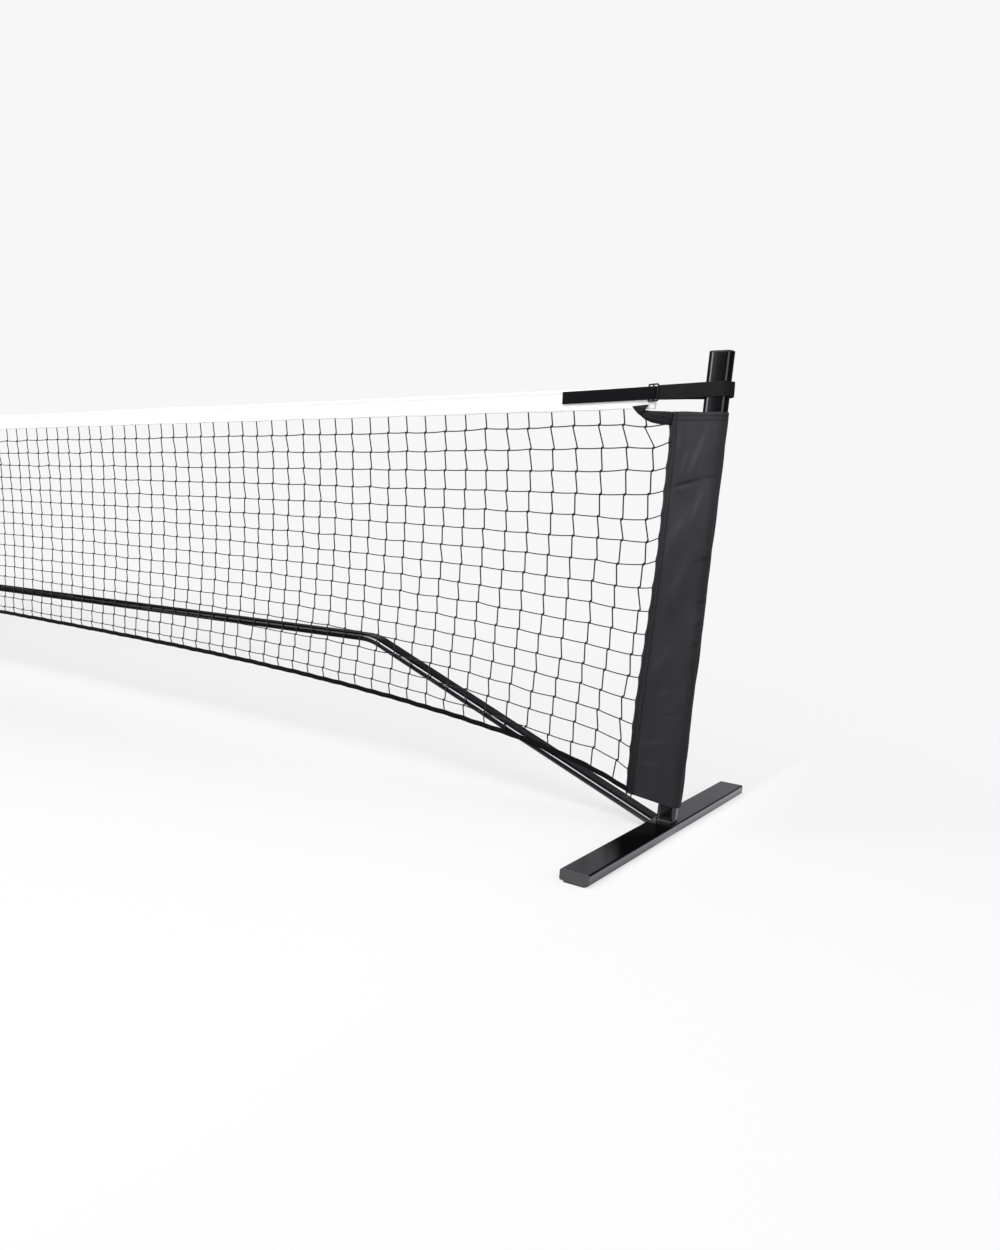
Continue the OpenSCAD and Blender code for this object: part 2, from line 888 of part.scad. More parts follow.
on_side("left") inner_rail();  // inner_rail_left
on_side("right") at_button("foot") button();  // foot_button_right
on_side("left") at_button("foot") button();  // foot_button_left
on_side("right") at_button("outer") button();  // outer_button_right
on_side("left") at_button("outer") button();  // outer_button_left
on_side("right") at_button("inner") button();  // inner_button_right
on_side("left") at_button("inner") button();  // inner_button_left
on_side("right") at_button("centre") button();  // centre_button_right
on_side("left") at_button("centre") button();  // centre_button_left
button_springs();
foot_tube(mid_foot_l);  // centre_foot
foot_plugs(mid_foot_l);  // centre_foot_plugs
foot_pads(mid_foot_l);  // centre_foot_pads
centre_stem();
centre_tee();
pole_socket();
centre_pole();
pole_cap();
net_mesh();
top_band();
bottom_hem();
on_side("right") sleeve();  // sleeve_right
on_side("left") sleeve();  // sleeve_left
on_side("right") corner_tab();  // corner_tab_right
on_side("left") corner_tab();  // corner_tab_left
on_side("right") strap();  // strap_right
on_side("left") strap();  // strap_left
on_side("right") strap_buckle();  // strap_buckle_right
on_side("left") strap_buckle();  // strap_buckle_left
for (side = ["right", "left"]) on_side(side) strap_anchor();  // strap_anchors
for (side = ["right", "left"]) on_side(side) hem_loop();  // hem_loops
centre_pocket();
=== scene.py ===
# Portable pickleball net: netting, cloth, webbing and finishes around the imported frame.
import json
import math
import bpy
import numpy as np
from mathutils import Matrix


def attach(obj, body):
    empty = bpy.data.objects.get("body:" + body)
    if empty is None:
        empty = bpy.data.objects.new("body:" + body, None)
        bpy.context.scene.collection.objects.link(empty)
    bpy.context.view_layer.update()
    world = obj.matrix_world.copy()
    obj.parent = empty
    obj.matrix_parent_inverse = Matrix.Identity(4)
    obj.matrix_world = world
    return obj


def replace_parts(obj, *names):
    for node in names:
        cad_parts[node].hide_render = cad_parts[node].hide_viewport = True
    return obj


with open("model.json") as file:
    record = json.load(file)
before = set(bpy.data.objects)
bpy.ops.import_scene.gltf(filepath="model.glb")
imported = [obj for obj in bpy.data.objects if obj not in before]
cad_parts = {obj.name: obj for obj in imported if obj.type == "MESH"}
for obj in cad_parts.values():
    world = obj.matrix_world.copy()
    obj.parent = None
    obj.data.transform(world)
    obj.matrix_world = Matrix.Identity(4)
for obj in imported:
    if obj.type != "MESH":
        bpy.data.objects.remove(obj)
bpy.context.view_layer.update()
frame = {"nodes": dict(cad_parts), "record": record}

nodes = frame["nodes"]
mm = 0.001
sides = {"right": 1, "left": -1}
print("frame loaded,", len(nodes), "nodes")

net = {
    "postX": 3.353, "planeY": -0.0200, "topEnd": 0.914, "topMid": 0.864, "bandHeight": 0.042,
    "hem": (0.2233, -0.1900, 0.1434, -0.0975), "hemRise": (0.092, 0.470), "hemStart": 0.0945,
    "columnStart": 0.131, "columns": 116, "rows": 16,
    "twine": 0.0026, "columnTwine": 0.0030, "twineSides": 6, "knot": 0.0029, "step": 0.0022,
}


def addObject(name, data):
    thing = bpy.data.objects.new(name, data)
    bpy.context.scene.collection.objects.link(thing)
    return thing


# the columns of axes are the object's own x, y and z
def setPlace(thing, axes, place):
    matrix = np.eye(4)
    matrix[:3, :3] = axes
    matrix[:3, 3] = place
    thing.matrix_world = Matrix(matrix.tolist())


# ---------- camera

cameraSetup = {
    "place": (4.0446, -1.85225, 0.60875),
    "yaw": -0.56868990,  # turned from looking along +Y
    "pitch": 0.24436166,  # downwards
    "roll": 0.06687139,
    "frame": (1000, 1250),  # in pixels, as the next two
    "focal": 924.24,
    "centre": (480, 762),  # where the lens axis meets the frame
    "sensor": 36,
    "clip": (0.05, 100),
}


def aimCamera(c):
    cy, sy, cp, sp = math.cos(c["yaw"]), math.sin(c["yaw"]), math.cos(c["pitch"]), math.sin(c["pitch"])
    ahead = np.array([sy * cp, cy * cp, -sp])
    right = np.array([cy, -sy, 0.0])
    up = np.cross(right, ahead)
    cr, sr = math.cos(c["roll"]), math.sin(c["roll"])
    wide, high = c["frame"]
    data = bpy.data.cameras.new("viewCamera")
    data.sensor_width = c["sensor"]
    data.lens = c["focal"] / high * c["sensor"]
    data.shift_x = (wide / 2 - c["centre"][0]) / high
    data.shift_y = (c["centre"][1] - high / 2) / high
    data.clip_start, data.clip_end = c["clip"]
    camera = addObject("viewCamera", data)
    setPlace(camera, np.stack([right * cr + up * sr, up * cr - right * sr, -ahead], axis=1), c["place"])
    bpy.context.scene.camera = camera


aimCamera(cameraSetup)
print("camera set")

# ---------- shader maths


# links a value or socket to a slot, or sets the slot to a plain number, vector or colour
def plug(tree, slot, item):
    source = getattr(item, "socket", item)
    if isinstance(source, bpy.types.NodeSocket):
        tree.links.new(source, slot)
    else:
        slot.default_value = (*item, 1) if slot.type == "RGBA" else item


# one Math node on values and plain numbers
def mathNode(tree, operation, *items):
    node = tree.nodes.new("ShaderNodeMath")
    node.operation = operation
    for slot, item in zip(node.inputs, items):
        plug(tree, slot, item)
    return Value(tree, node.outputs[0])


# a socket that can stand in an expression
class Value:
    def __init__(self, tree, socket):
        self.tree, self.socket = tree, socket

    def maths(self, operation, *others): return mathNode(self.tree, operation, self, *others)
    def __add__(self, other): return self.maths("ADD", other)
    def __radd__(self, other): return self.maths("ADD", other)
    def __sub__(self, other): return self.maths("SUBTRACT", other)
    def __rsub__(self, other): return mathNode(self.tree, "SUBTRACT", other, self)
    def __mul__(self, other): return self.maths("MULTIPLY", other)
    def __rmul__(self, other): return self.maths("MULTIPLY", other)
    def __truediv__(self, other): return self.maths("DIVIDE", other)
    def __pow__(self, other): return self.maths("POWER", other)
    def sin(self): return self.maths("SINE")
    def abs(self): return self.maths("ABSOLUTE")
    def over(self, edge): return self.maths("GREATER_THAN", edge)
    def clamp(self, low=0.0, high=1.0): return self.maths("MINIMUM", high).maths("MAXIMUM", low)
    def bell(self, sharp=1.0): return (self * self * -sharp).maths("EXPONENT")


# the nodes of a material or a world
class Graph:
    def __init__(self, owner):
        owner.use_nodes = True
        self.tree = owner.node_tree
        self.tree.nodes.clear()

    # any node: its type, its settings, then the values or links of its sockets
    def node(self, kind, settings=None, values=None):
        made = self.tree.nodes.new(kind)
        for key, value in (settings or {}).items():
            setattr(made, key, value)
        for key, value in (values or {}).items():
            plug(self.tree, made.inputs[key], value)
        return made

    # one output of such a node
    def add(self, kind, settings=None, values=None, out=0):
        return Value(self.tree, self.node(kind, settings, values).outputs[out])

    def coords(self, scale=(1, 1, 1), source="Object"):
        place = self.add("ShaderNodeTexCoord", out=source)
        return self.add("ShaderNodeMapping", None, {"Vector": place, "Scale": scale})

    def split(self, vector):
        parts = self.node("ShaderNodeSeparateXYZ", None, {"Vector": vector}).outputs
        return [Value(self.tree, part) for part in parts]

    def noise(self, vector, scale, detail, roughness=0.5):
        return self.add("ShaderNodeTexNoise", None,
                        {"Vector": vector, "Scale": scale, "Detail": detail, "Roughness": roughness})

    def mix(self, factor, a, b):
        return self.add("ShaderNodeMix", {"data_type": "RGBA"}, {0: factor, 6: a, 7: b}, out=2)

    def vector(self, operation, values, out=0):
        return self.add("ShaderNodeVectorMath", {"operation": operation}, values, out)

    def blend(self, factor, a, b):
        return self.add("ShaderNodeMixShader", None, {0: factor, 1: a, 2: b})

    # 1 for one kind of ray, 0 for all others
    def ray(self, kind):
        return self.add("ShaderNodeLightPath", out="Is %s Ray" % kind)

    def bump(self, height, strength, distance, normal=None):
        values = {"Height": height, "Strength": strength, "Distance": distance}
        return self.add("ShaderNodeBump", None, {**values, "Normal": normal} if normal else values)


class Finish(Graph):
    def __init__(self, name, **constants):
        self.material = bpy.data.materials.new(name)
        super().__init__(self.material)
        self.shader = self.node("ShaderNodeBsdfPrincipled")
        self.output = self.node("ShaderNodeOutputMaterial", None, {"Surface": self.shader.outputs[0]})
        self.feed(**constants)

    # sets or links the shader's sockets, and gives the material
    def feed(self, **sockets):
        for key, item in sockets.items():
            plug(self.tree, self.shader.inputs[key.replace("_", " ")], item)
        return self.material

    # lays another shader over the share of the surface
    def cover(self, share, other):
        plug(self.tree, self.output.inputs["Surface"], self.blend(share, self.shader.outputs[0], other))
        return self.material


def grey(value):
    return (value, value, value)


# ---------- finishes

paint = {
    "base": (0.0040, 0.0040, 0.0045), "dust": (0.020, 0.020, 0.021), "dustFrom": 0.50, "dustShare": 0.7,
    "rough": 0.11, "hazeRough": 0.07, "dustRough": 0.4, "rubRough": 0.24, "rubFrom": 0.60,
    "hazeSize": 7, "streaks": (14, 60, 14), "streakSize": 2.5, "peelSize": 420, "peelDepth": 0.000012,
}
# how much the shading of an upright's flats bows, in 1/m, within the half width of the flat
crown = {"bow": 9.0, "flat": 0.012}
# painted shade: matte black laid over the paint on a foot's top between two places along y, where the
# sleeve's dark reflection and shade fall, and on a rail's level run up to its bend, where no reflection shows
dull = {"from": -0.345, "to": -0.020, "soft": 0.12, "endSoft": 0.03, "slant": 1.2, "share": 0.93}
run = {"bend": 2.53, "soft": 0.06, "share": 0.72}
# the painted shade: a matte black shader with no reflection
matte = {"Base Color": grey(0.0022), "Roughness": 0.7, "Specular IOR Level": 0.0}


# gloss paint with a faint orange peel: dust is a haze on what faces up, and rubbed streaks are rougher
def paintFinish(name, p, kind="plain"):
    f = Finish(name, Specular_IOR_Level=0.5)
    place = f.coords()
    x, y, _ = f.split(place)
    normal = f.add("ShaderNodeNewGeometry", out="Normal")
    up = f.split(normal)[2].clamp()
    haze = f.noise(place, p["hazeSize"], 4, 0.6)
    streak = f.noise(f.coords(p["streaks"]), p["streakSize"], 4, 0.6)
    dust = (up * (haze - p["dustFrom"]).clamp() * p["dustShare"]).clamp()
    rub = (streak - p["rubFrom"]).clamp()
    rough = p["rough"] + haze * p["hazeRough"] + dust * p["dustRough"] + rub * p["rubRough"]
    bowed = None
    if kind == "upright":      # the normal leans outwards with the distance from the upright's axis
        side = x.over(0) * 2.0 - 1.0
        lean = (x - side * net["postX"]).clamp(-crown["flat"], crown["flat"])
        tip = f.add("ShaderNodeCombineXYZ", None, {"X": lean * crown["bow"]})
        bowed = f.vector("NORMALIZE", {0: f.vector("ADD", {0: normal, 1: tip})})
    peel = f.bump(f.noise(place, p["peelSize"], 2), 0.35, p["peelDepth"], bowed)
    f.feed(Base_Color=f.mix(dust, p["base"], p["dust"]), Roughness=rough.clamp(), Normal=peel)
    # the rail kind: painted shade along the level run, fading out at the bend, so that it shows no reflection
    if kind == "rail":
        share = ((run["bend"] - x.abs()) / run["soft"]).clamp() * run["share"]
    elif kind == "foot":       # painted shade on the foot's top: a smooth step in, a short fade out, and only where the paint faces up
        across = x.abs() - net["postX"]
        near = ((y + across * dull["slant"] - dull["from"]) / dull["soft"]).clamp()
        away = ((dull["to"] - y) / dull["endSoft"]).clamp()
        share = near * near * (3.0 - near * 2.0) * away * up * dull["share"]
    else:
        return f.material
    return f.cover(share, f.add("ShaderNodeBsdfPrincipled", None, matte))


plastic = {"base": (0.036, 0.036, 0.038), "rough": 0.42, "grain": 1500, "gloss": 0.5, "pale": 1.7,
           "cloudSize": 40, "cloudRough": 0.12, "grainRough": 0.05, "grainDepth": 0.00006}
capPlastic = {**plastic, "base": (0.007, 0.007, 0.007), "gloss": 0.25}
bucklePlastic = {**plastic, "base": (0.004, 0.004, 0.004), "rough": 0.38, "grain": 900, "gloss": 0.10}
padRubber = {**plastic, "base": (0.012, 0.012, 0.012), "rough": 0.75, "grain": 700}


# moulded plastic or rubber: a fine grain over soft clouds of a paler tone
def plasticFinish(name, p):
    f = Finish(name, Specular_IOR_Level=p["gloss"])
    place = f.coords()
    grain = f.noise(place, p["grain"], 3)
    cloud = f.noise(place, p["cloudSize"], 3)
    return f.feed(Base_Color=f.mix(cloud, p["base"], grey(p["base"][0] * p["pale"])),
                  Roughness=p["rough"] + cloud * p["cloudRough"] + grain * p["grainRough"],
                  Normal=f.bump(grain, 0.3, p["grainDepth"]))


metal = {"base": (0.55, 0.55, 0.53), "worn": (0.36, 0.36, 0.35), "rough": 0.30, "brushRough": 0.15,
         "brushed": (60, 900, 900), "cloudSize": 90, "brushDepth": 0.00002}


# plated steel: fine lines along x over worn clouds
def metalFinish(name, p):
    f = Finish(name, Metallic=1.0)
    brush = f.noise(f.coords(p["brushed"]), 2, 3)
    cloud = f.noise(f.coords(), p["cloudSize"], 3)
    return f.feed(Base_Color=f.mix(cloud, p["base"], p["worn"]),
                  Roughness=p["rough"] + brush * p["brushRough"], Normal=f.bump(brush, 0.2, p["brushDepth"]))


# plain weave: the warp and the weft rise in turn, as the product of two waves
def weave(across, along, pitch):
    k = math.pi / pitch
    warp, weft = (across * k).sin(), (along * k).sin()
    return (warp * weft) * 0.5 + 0.5


# low: the tone at the ground under a painted shade, as a share of the full tone, which the cloth has from
# fullUp on
cloth = {"dark": (0.018, 0.0177, 0.0205), "light": (0.036, 0.0355, 0.040), "pitch": 0.0008, "depth": 0.00012,
         "rough": 0.80, "low": 0.58, "fullUp": 1 / 1.16, "slubSize": 160, "cloudSize": 16}
tabCloth = {**cloth, "dark": (0.0020, 0.0020, 0.0024), "light": (0.0055, 0.0055, 0.0062)}


# woven cloth. seams adds the sleeve's lines of stitches, darkened as dark thread and as painted shade in
# their grooves, its seam strip, darker near the ground, and painted light and shade on its folds: the ring's
# length, and the lines' distances from the seam's edge and from the top
def clothFinish(name, c, seams=None):
    f = Finish(name, Sheen_Weight=0.02, Sheen_Roughness=0.5, Specular_IOR_Level=0.12)
    s, t, _ = f.split(f.coords(source="UV"))
    z = f.split(f.coords())[2]
    threads = weave(s, t, c["pitch"])
    slub = f.noise(f.coords((1, 9, 1), source="UV"), c["slubSize"], 3)
    cloud = f.noise(f.coords((1, 1, 0.6)), c["cloudSize"], 4, 0.55)
    tone = (cloud * 1.1 + slub * 0.3 + threads * 0.15 - 0.30).clamp()
    # painted shade: the cloth darkens towards the ground, as a square of the height
    shade = (z / c["fullUp"]).clamp() ** 2.0 * (1 - c["low"]) + c["low"]
    if seams:
        inset = s.maths("MINIMUM", seams["ring"] - s)
        # each line is a bell of the offset over its half width, pinched by a wave at each stitch: dark thread
        # and painted shade of the groove
        pinch = ((s + t) * (2 * math.pi / seams["stitchPitch"])).sin() * 0.22 + 0.78
        lines = sum(((offset - place) / seams["lineWidth"]).bell() for offset, places in
                    ((inset, seams["stitchIn"]), (seams["top"] - z, seams["stitchDown"])) for place in places)
        edge = ((seams["stitchIn"][1] - inset) / seams["stripSoft"]).clamp()
        edge = edge * ((1.0 - z / seams["stripRise"]).clamp() + seams["stripDark"])
        # painted light and shade on the folds: the creases' relief, stored on the mesh, lightens ridges and
        # darkens creases
        fold = f.add("ShaderNodeAttribute", {"attribute_name": "fold"}, out="Fac")
        shade = shade * (1 - (lines * pinch).clamp() * seams["lineDark"])
        shade = shade * (1 - edge * seams["stripLow"]) * (fold * seams["foldLightAndShade"] + 1)
    colour = f.vector("SCALE", {0: f.mix(tone, c["dark"], c["light"]), "Scale": shade})
    return f.feed(Base_Color=colour, Roughness=c["rough"] - cloud * 0.12,
                  Normal=f.bump(threads * 0.6 + slub * 0.4, 0.5, c["depth"]))


webbing = {"dark": (0.0014, 0.0014, 0.0018), "light": (0.0042, 0.0042, 0.0050), "rib": 0.0016,
           "depth": 0.0003, "rough": 0.62, "fuzzSize": 300}
strapWebbing = {**webbing, "dark": (0.0065, 0.0065, 0.0070), "light": (0.0155, 0.0155, 0.0160)}


# webbing: ribs along the strip, each crossed by slanting picks
def webbingFinish(name, w):
    f = Finish(name, Specular_IOR_Level=0.05)
    s, t, _ = f.split(f.coords(source="UV"))
    k = 2 * math.pi / w["rib"]
    ribs = (t * k).sin() * 0.5 + 0.5
    picks = (s * (k * 0.8) + ribs * 1.6).sin() * 0.5 + 0.5
    relief = ribs * 0.55 + picks * 0.45
    fuzz = f.noise(f.coords(), w["fuzzSize"], 3)
    tone = (relief * 0.7 + fuzz * 0.5 - 0.15).clamp()
    return f.feed(Base_Color=f.mix(tone, w["dark"], w["light"]),
                  Roughness=w["rough"] + fuzz * 0.2, Normal=f.bump(relief, 0.6, w["depth"]))


vinyl = {"base": (0.62, 0.62, 0.619), "shade": (0.56, 0.562, 0.568), "pitch": 0.0011, "glow": 0.10,
         "rough": 0.48, "soilSize": 5, "soilFrom": 0.45, "soilShare": 1.6, "depth": 0.00008}


# coated band cloth: a fine weave that shows through a smooth white coat, and a faint white glow, painted
# light that lifts the band's shade
def vinylFinish(name, v):
    f = Finish(name, Specular_IOR_Level=0.45, Emission_Color=grey(1.0), Emission_Strength=v["glow"])
    s, t, _ = f.split(f.coords(source="UV"))
    soil = f.noise(f.coords((1, 1, 4)), v["soilSize"], 5, 0.6)
    soiled = (soil - v["soilFrom"]).clamp() * v["soilShare"]
    return f.feed(Base_Color=f.mix(soiled, v["base"], v["shade"]),
                  Roughness=v["rough"] + soil * 0.12,
                  Normal=f.bump(weave(s, t, v["pitch"]), 0.25, v["depth"]))


twine = {"dark": (0.006, 0.006, 0.0063), "light": (0.018, 0.018, 0.0185), "turn": 0.004,
         "rough": 0.75, "fuzzSize": 700, "depth": 0.0002}
darkThread = {**twine, "dark": (0.012, 0.012, 0.013), "light": (0.030, 0.030, 0.032), "turn": 0.001}
whiteThread = {**twine, "dark": (0.70, 0.70, 0.70), "light": (0.84, 0.84, 0.84), "turn": 0.001}
loopCord = {**twine, "dark": (0.006, 0.006, 0.006), "light": (0.022, 0.022, 0.022), "turn": 0.002}


# laid twine: slanting turns of the plies, from the waves of the place along and round the strand
def twineFinish(name, w):
    f = Finish(name, Specular_IOR_Level=0.3)
    x, y, z = f.split(f.coords())
    k = 2 * math.pi / w["turn"]
    plies = ((x + z) * k + y * (k * 2.2)).sin() * 0.5 + 0.5
    fuzz = f.noise(f.coords(), w["fuzzSize"], 2)
    return f.feed(Base_Color=f.mix((plies * 0.5 + fuzz * 0.5).clamp(), w["dark"], w["light"]),
                  Roughness=w["rough"] + fuzz * 0.15, Normal=f.bump(plies, 0.6, w["depth"]))


finishes = {
    "powder_coat": paintFinish("glossBlackPaint", paint),
    "upright_paint": paintFinish("uprightPaint", paint, "upright"),
    "foot_paint": paintFinish("footPaint", paint, "foot"),
    "rail_paint": paintFinish("railPaint", paint, "rail"),
    "plastic_black": plasticFinish("endPlugPlastic", plastic),
    "cap_black": plasticFinish("capPlastic", capPlastic),
    "buckle_black": plasticFinish("bucklePlastic", bucklePlastic),
    "rubber_black": plasticFinish("padRubber", padRubber),
    "zinc": metalFinish("zincPlate", metal),
    "sleeve_fabric": clothFinish("sleeveCloth", cloth),
    "tab_fabric": clothFinish("tabCloth", tabCloth),
    "webbing": webbingFinish("tapeWebbing", webbing),
    "strap_webbing": webbingFinish("strapWebbing", strapWebbing),
    "band_white": vinylFinish("bandCloth", vinyl),
    "netting": twineFinish("netTwine", twine),
    "thread_dark": twineFinish("darkThread", darkThread),
    "thread_white": twineFinish("whiteThread", whiteThread),
    "loop_cord": twineFinish("loopCord", loopCord),
}
# the nodes of each side that take another finish than their slot's
ownFinish = {"upright": "upright_paint", "foot": "foot_paint", "end_rail": "rail_paint",
             "outer_rail": "rail_paint", "inner_rail": "rail_paint", "upright_cap": "cap_black"}
painted = {"%s_%s" % (part, side): finish for part, finish in ownFinish.items() for side in sides}
for entry in frame["record"]["subparts"]:
    part = nodes[entry["node"]]
    part.data.materials.clear()
    part.data.materials.append(finishes[painted.get(entry["node"], entry["material_slot"])])
print("finishes made")

# ---------- lines and surfaces


def normalised(v):
    return v / np.maximum(np.linalg.norm(v, axis=-1, keepdims=True), 1e-12)


# a smooth step from 0 to 1: a cubic
def smooth(t):
    t = np.clip(t, 0, 1)
    return t * t * (3 - 2 * t)


# a smooth step from the first place on, over the second's distance
def stepAt(x, place):
    return smooth((x - place[0]) / place[1])


# a falling exponential: 1 at the first place, and e times less after each of the second's distance
def decay(x, place):
    return np.exp((place[0] - x) / place[1])


# e to the minus square of the offset over the half width
def bell(offset, width):
    return np.exp(-(offset / width) ** 2)


# a sum of sine waves: height, wave length and start of each
def waves(x, *parts):
    return sum(height * np.sin(x * 2 * math.pi / length + start) for height, length, start in parts)


# points from arrays or numbers for x, y and z
def grid(x, y, z):
    return np.stack(np.broadcast_arrays(x, y, z), -1)


# right-hand points moved to their side of the net; mirrored ones are turned round to face outwards still
def onSide(points, side, turned=0):
    placed = (points + (net["postX"], 0, 0)) * (sides[side], 1, 1)
    return placed if sides[side] > 0 else np.flip(placed, turned)


# the angles of a full turn, its end left out
def fullTurn(count):
    return np.arange(count) / count * 2 * math.pi


# a sine or cosine squared off: a power of its size, with its sign
def squared(wave, power):
    return np.sign(wave) * np.abs(wave) ** power


# plan points of an arc, in degrees, round a corner's centre
def arc(cx, cy, r, a0, a1, count=10):
    a = np.radians(np.linspace(a0, a1, count))
    return list(zip(cx + r * np.cos(a), cy + r * np.sin(a)))


# the distance along a line of points, or the mean distance along the lines of a grid
def reachAlong(line):
    steps = np.linalg.norm(np.diff(line, axis=0), axis=-1)
    return np.concatenate([[0], np.cumsum(steps.reshape(len(steps), -1).mean(1))])


# the line's places at some distances along it
def placesAt(line, reach, at):
    return np.stack([np.interp(at, reach, column) for column in line.T], 1)


# rounds a line's corners by averaging neighbours, with its ends held
def eased(line, rounds):
    for _ in range(rounds):
        line[1:-1] = (line[:-2] + 2 * line[1:-1] + line[2:]) / 4
    return line


# directions to the right of a line in plan
def outwardOf(plan):
    ahead = normalised(np.gradient(plan, axis=0))
    return np.stack([ahead[:, 1], -ahead[:, 0]], 1)


# rings of eight points square to a line: the first index runs round, the second along
def tubePoints(line, ahead, upright, radius):
    across = normalised(np.cross(ahead, np.array(upright)))
    turn = fullTurn(8)[:, None, None]
    return line[None] + radius * (np.cos(turn) * across + np.sin(turn) * np.cross(ahead, across))


# faceSets holds index arrays, one row a face; cornerUv has one row for each corner, in metres of cloth
def buildPiece(name, points, faceSets, finish, body="net", cornerUv=None, fold=None):
    points = np.asarray(points, float).reshape(-1, 3)
    corners = np.concatenate([f.ravel() for f in faceSets])
    counts = np.concatenate([np.full(len(f), f.shape[1]) for f in faceSets])
    mesh = bpy.data.meshes.new(name)
    mesh.vertices.add(len(points))
    mesh.vertices.foreach_set("co", points.ravel())
    mesh.loops.add(len(corners))
    mesh.loops.foreach_set("vertex_index", corners.astype(np.int32))
    mesh.polygons.add(len(counts))
    mesh.polygons.foreach_set("loop_start", (np.cumsum(counts) - counts).astype(np.int32))
    mesh.polygons.foreach_set("use_smooth", np.full(len(counts), True))
    if fold is not None:
        mesh.attributes.new("fold", "FLOAT", "POINT").data.foreach_set("value", fold.ravel())
    if cornerUv is not None:
        mesh.uv_layers.new(name="cloth").data.foreach_set("uv", np.asarray(cornerUv, float).ravel())
    mesh.update(calc_edges=True)
    mesh.validate()
    mesh.materials.append(finishes[finish])
    piece = addObject(name, mesh)
    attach(piece, body)
    return piece


# quads of a grid of nu by nv points, with the step of each corner for its cloth coordinates
def gridFaces(nu, nv, closeU=False, closeV=False):
    cells = np.indices((nu - (not closeU), nv - (not closeV))).reshape(2, -1).T
    steps = cells[:, None] + np.array([(0, 0), (1, 0), (1, 1), (0, 1)])
    return steps[..., 0] % nu * nv + steps[..., 1] % nv, steps


# a surface from a grid of points: u runs along the first index, v along the second; wall is its
# thickness and the side that it grows to
def surface(name, points, finish, body="net", closeU=False, closeV=False, capV=False, wall=None, fold=None):
    nu, nv = points.shape[:2]
    quads, steps = gridFaces(nu, nv, closeU, closeV)
    loopU = np.concatenate([points, points[:1]]) if closeU else points
    loopV = np.concatenate([points, points[:, :1]], axis=1) if closeV else points
    uLength, vLength = reachAlong(loopU), reachAlong(loopV.transpose(1, 0, 2))
    uv = np.stack([uLength[steps[..., 0]], vLength[steps[..., 1]]], -1).reshape(-1, 2)
    faceSets = [quads]
    if capV:    # both ends of a tube that closes on itself along u
        ring = np.arange(nu) * nv
        faceSets += [ring[None, :], (ring + nv - 1)[None, ::-1]]
        uv = np.concatenate([uv, np.zeros((2 * nu, 2))])
    piece = buildPiece(name, points, faceSets, finish, body, uv, fold)
    if wall:
        solid = piece.modifiers.new("wall", "SOLIDIFY")
        solid.thickness, solid.offset = wall
        solid.use_even_offset = True
    return piece


# many round strands at once: paths is strands x stations x 3, and each ring lies in the plane of y and
# one more fixed direction across the strands
def strands(name, paths, radius, across):
    count, stations = paths.shape[:2]
    ringSides = net["twineSides"]
    turn = fullTurn(ringSides)[:, None]
    ring = np.cos(turn) * np.array((0, 1, 0)) + np.sin(turn) * np.array(across)
    points = paths[:, :, None, :] + radius * ring
    quads, _ = gridFaces(stations, ringSides, closeV=True)
    start = np.arange(count)[:, None, None] * stations * ringSides
    caps = np.arange(ringSides)[None, :]
    first, last = caps[:, ::-1] + start[:, 0], caps + start[:, 0] + (stations - 1) * ringSides
    return buildPiece(name, points, [(quads + start).reshape(-1, 4), first, last], "netting")


# copies of one small closed shape: axes is copies x 3 x 3, rows being the shape's own x, y and z
def copies(name, shape, centres, axes, finish):
    points, faceSets = shape
    placed = centres[:, None, :] + np.einsum("kc,ncd->nkd", points, axes)
    shift = (np.arange(len(centres)) * len(points))[:, None, None]
    return buildPiece(name, placed, [(f[None] + shift).reshape(-1, f.shape[1]) for f in faceSets], finish)


# a closed lathe shape along x: rings of the given places and radii, with flat ends
def spindle(along, radii, ringSides):
    turn = fullTurn(ringSides)
    along, radii = np.array(along)[:, None], np.array(radii)[:, None]
    points = grid(along, radii * np.cos(turn), radii * np.sin(turn)).reshape(-1, 3)
    quads, _ = gridFaces(len(along), ringSides, closeV=True)
    first = np.arange(ringSides)[None, ::-1]
    return points, [quads, first, first[:, ::-1] + (len(along) - 1) * ringSides]


# a run of short stitches along a line of points
def stitches(name, line, gap, length, radius, finish):
    reach = reachAlong(line)
    at = np.arange(gap / 2, reach[-1], gap)
    ahead, behind = placesAt(line, reach, at + length / 2), placesAt(line, reach, at - length / 2)
    a = normalised(ahead - behind)
    b = normalised(np.cross(a, np.array([0.0, 1.0, 0.02])))
    shape = spindle(np.array([-0.5, -0.3, 0.3, 0.5]) * length, np.array([0.4, 1, 1, 0.4]) * radius, 5)
    copies(name, shape, placesAt(line, reach, at), np.stack([a, b, np.cross(a, b)], 1), finish)


# ---------- the net's lines

# the first three columns beside a sleeve hang unevenly: each knot's distance from the upright's axis and
# its height, from the top row down, and how much higher each row meets the sleeve than its first knot
nearU = np.array([
    (134, 113, 110, 113, 114, 107, 110, 113, 107, 113, 115, 117, 125, 125, 121, 122),
    (184, 171, 168, 167, 168, 164, 166, 168, 167, 167, 171, 173, 179, 180, 177, 180),
    (239, 229, 226, 224, 223, 220, 221, 224, 224, 224, 225, 227, 229, 231, 236, 238),
]) * mm
nearZ = np.array([
    (836, 795, 750, 704, 655, 610, 563, 516, 467, 420, 374, 327, 280, 232, 185, 141),
    (839, 795, 749, 701, 652, 609, 561, 515, 470, 424, 378, 334, 288, 243, 198, 157),
    (838, 794, 746, 701, 657, 611, 565, 519, 475, 430, 386, 341, 297, 252, 208, 163),
]) * mm
rowEndRise = np.array((6, 12, 8, 8, 11, 11, 10, 3, 1, 0, 0, -1, -3, -8, -12, -17)) * mm
rng = np.random.default_rng(7)

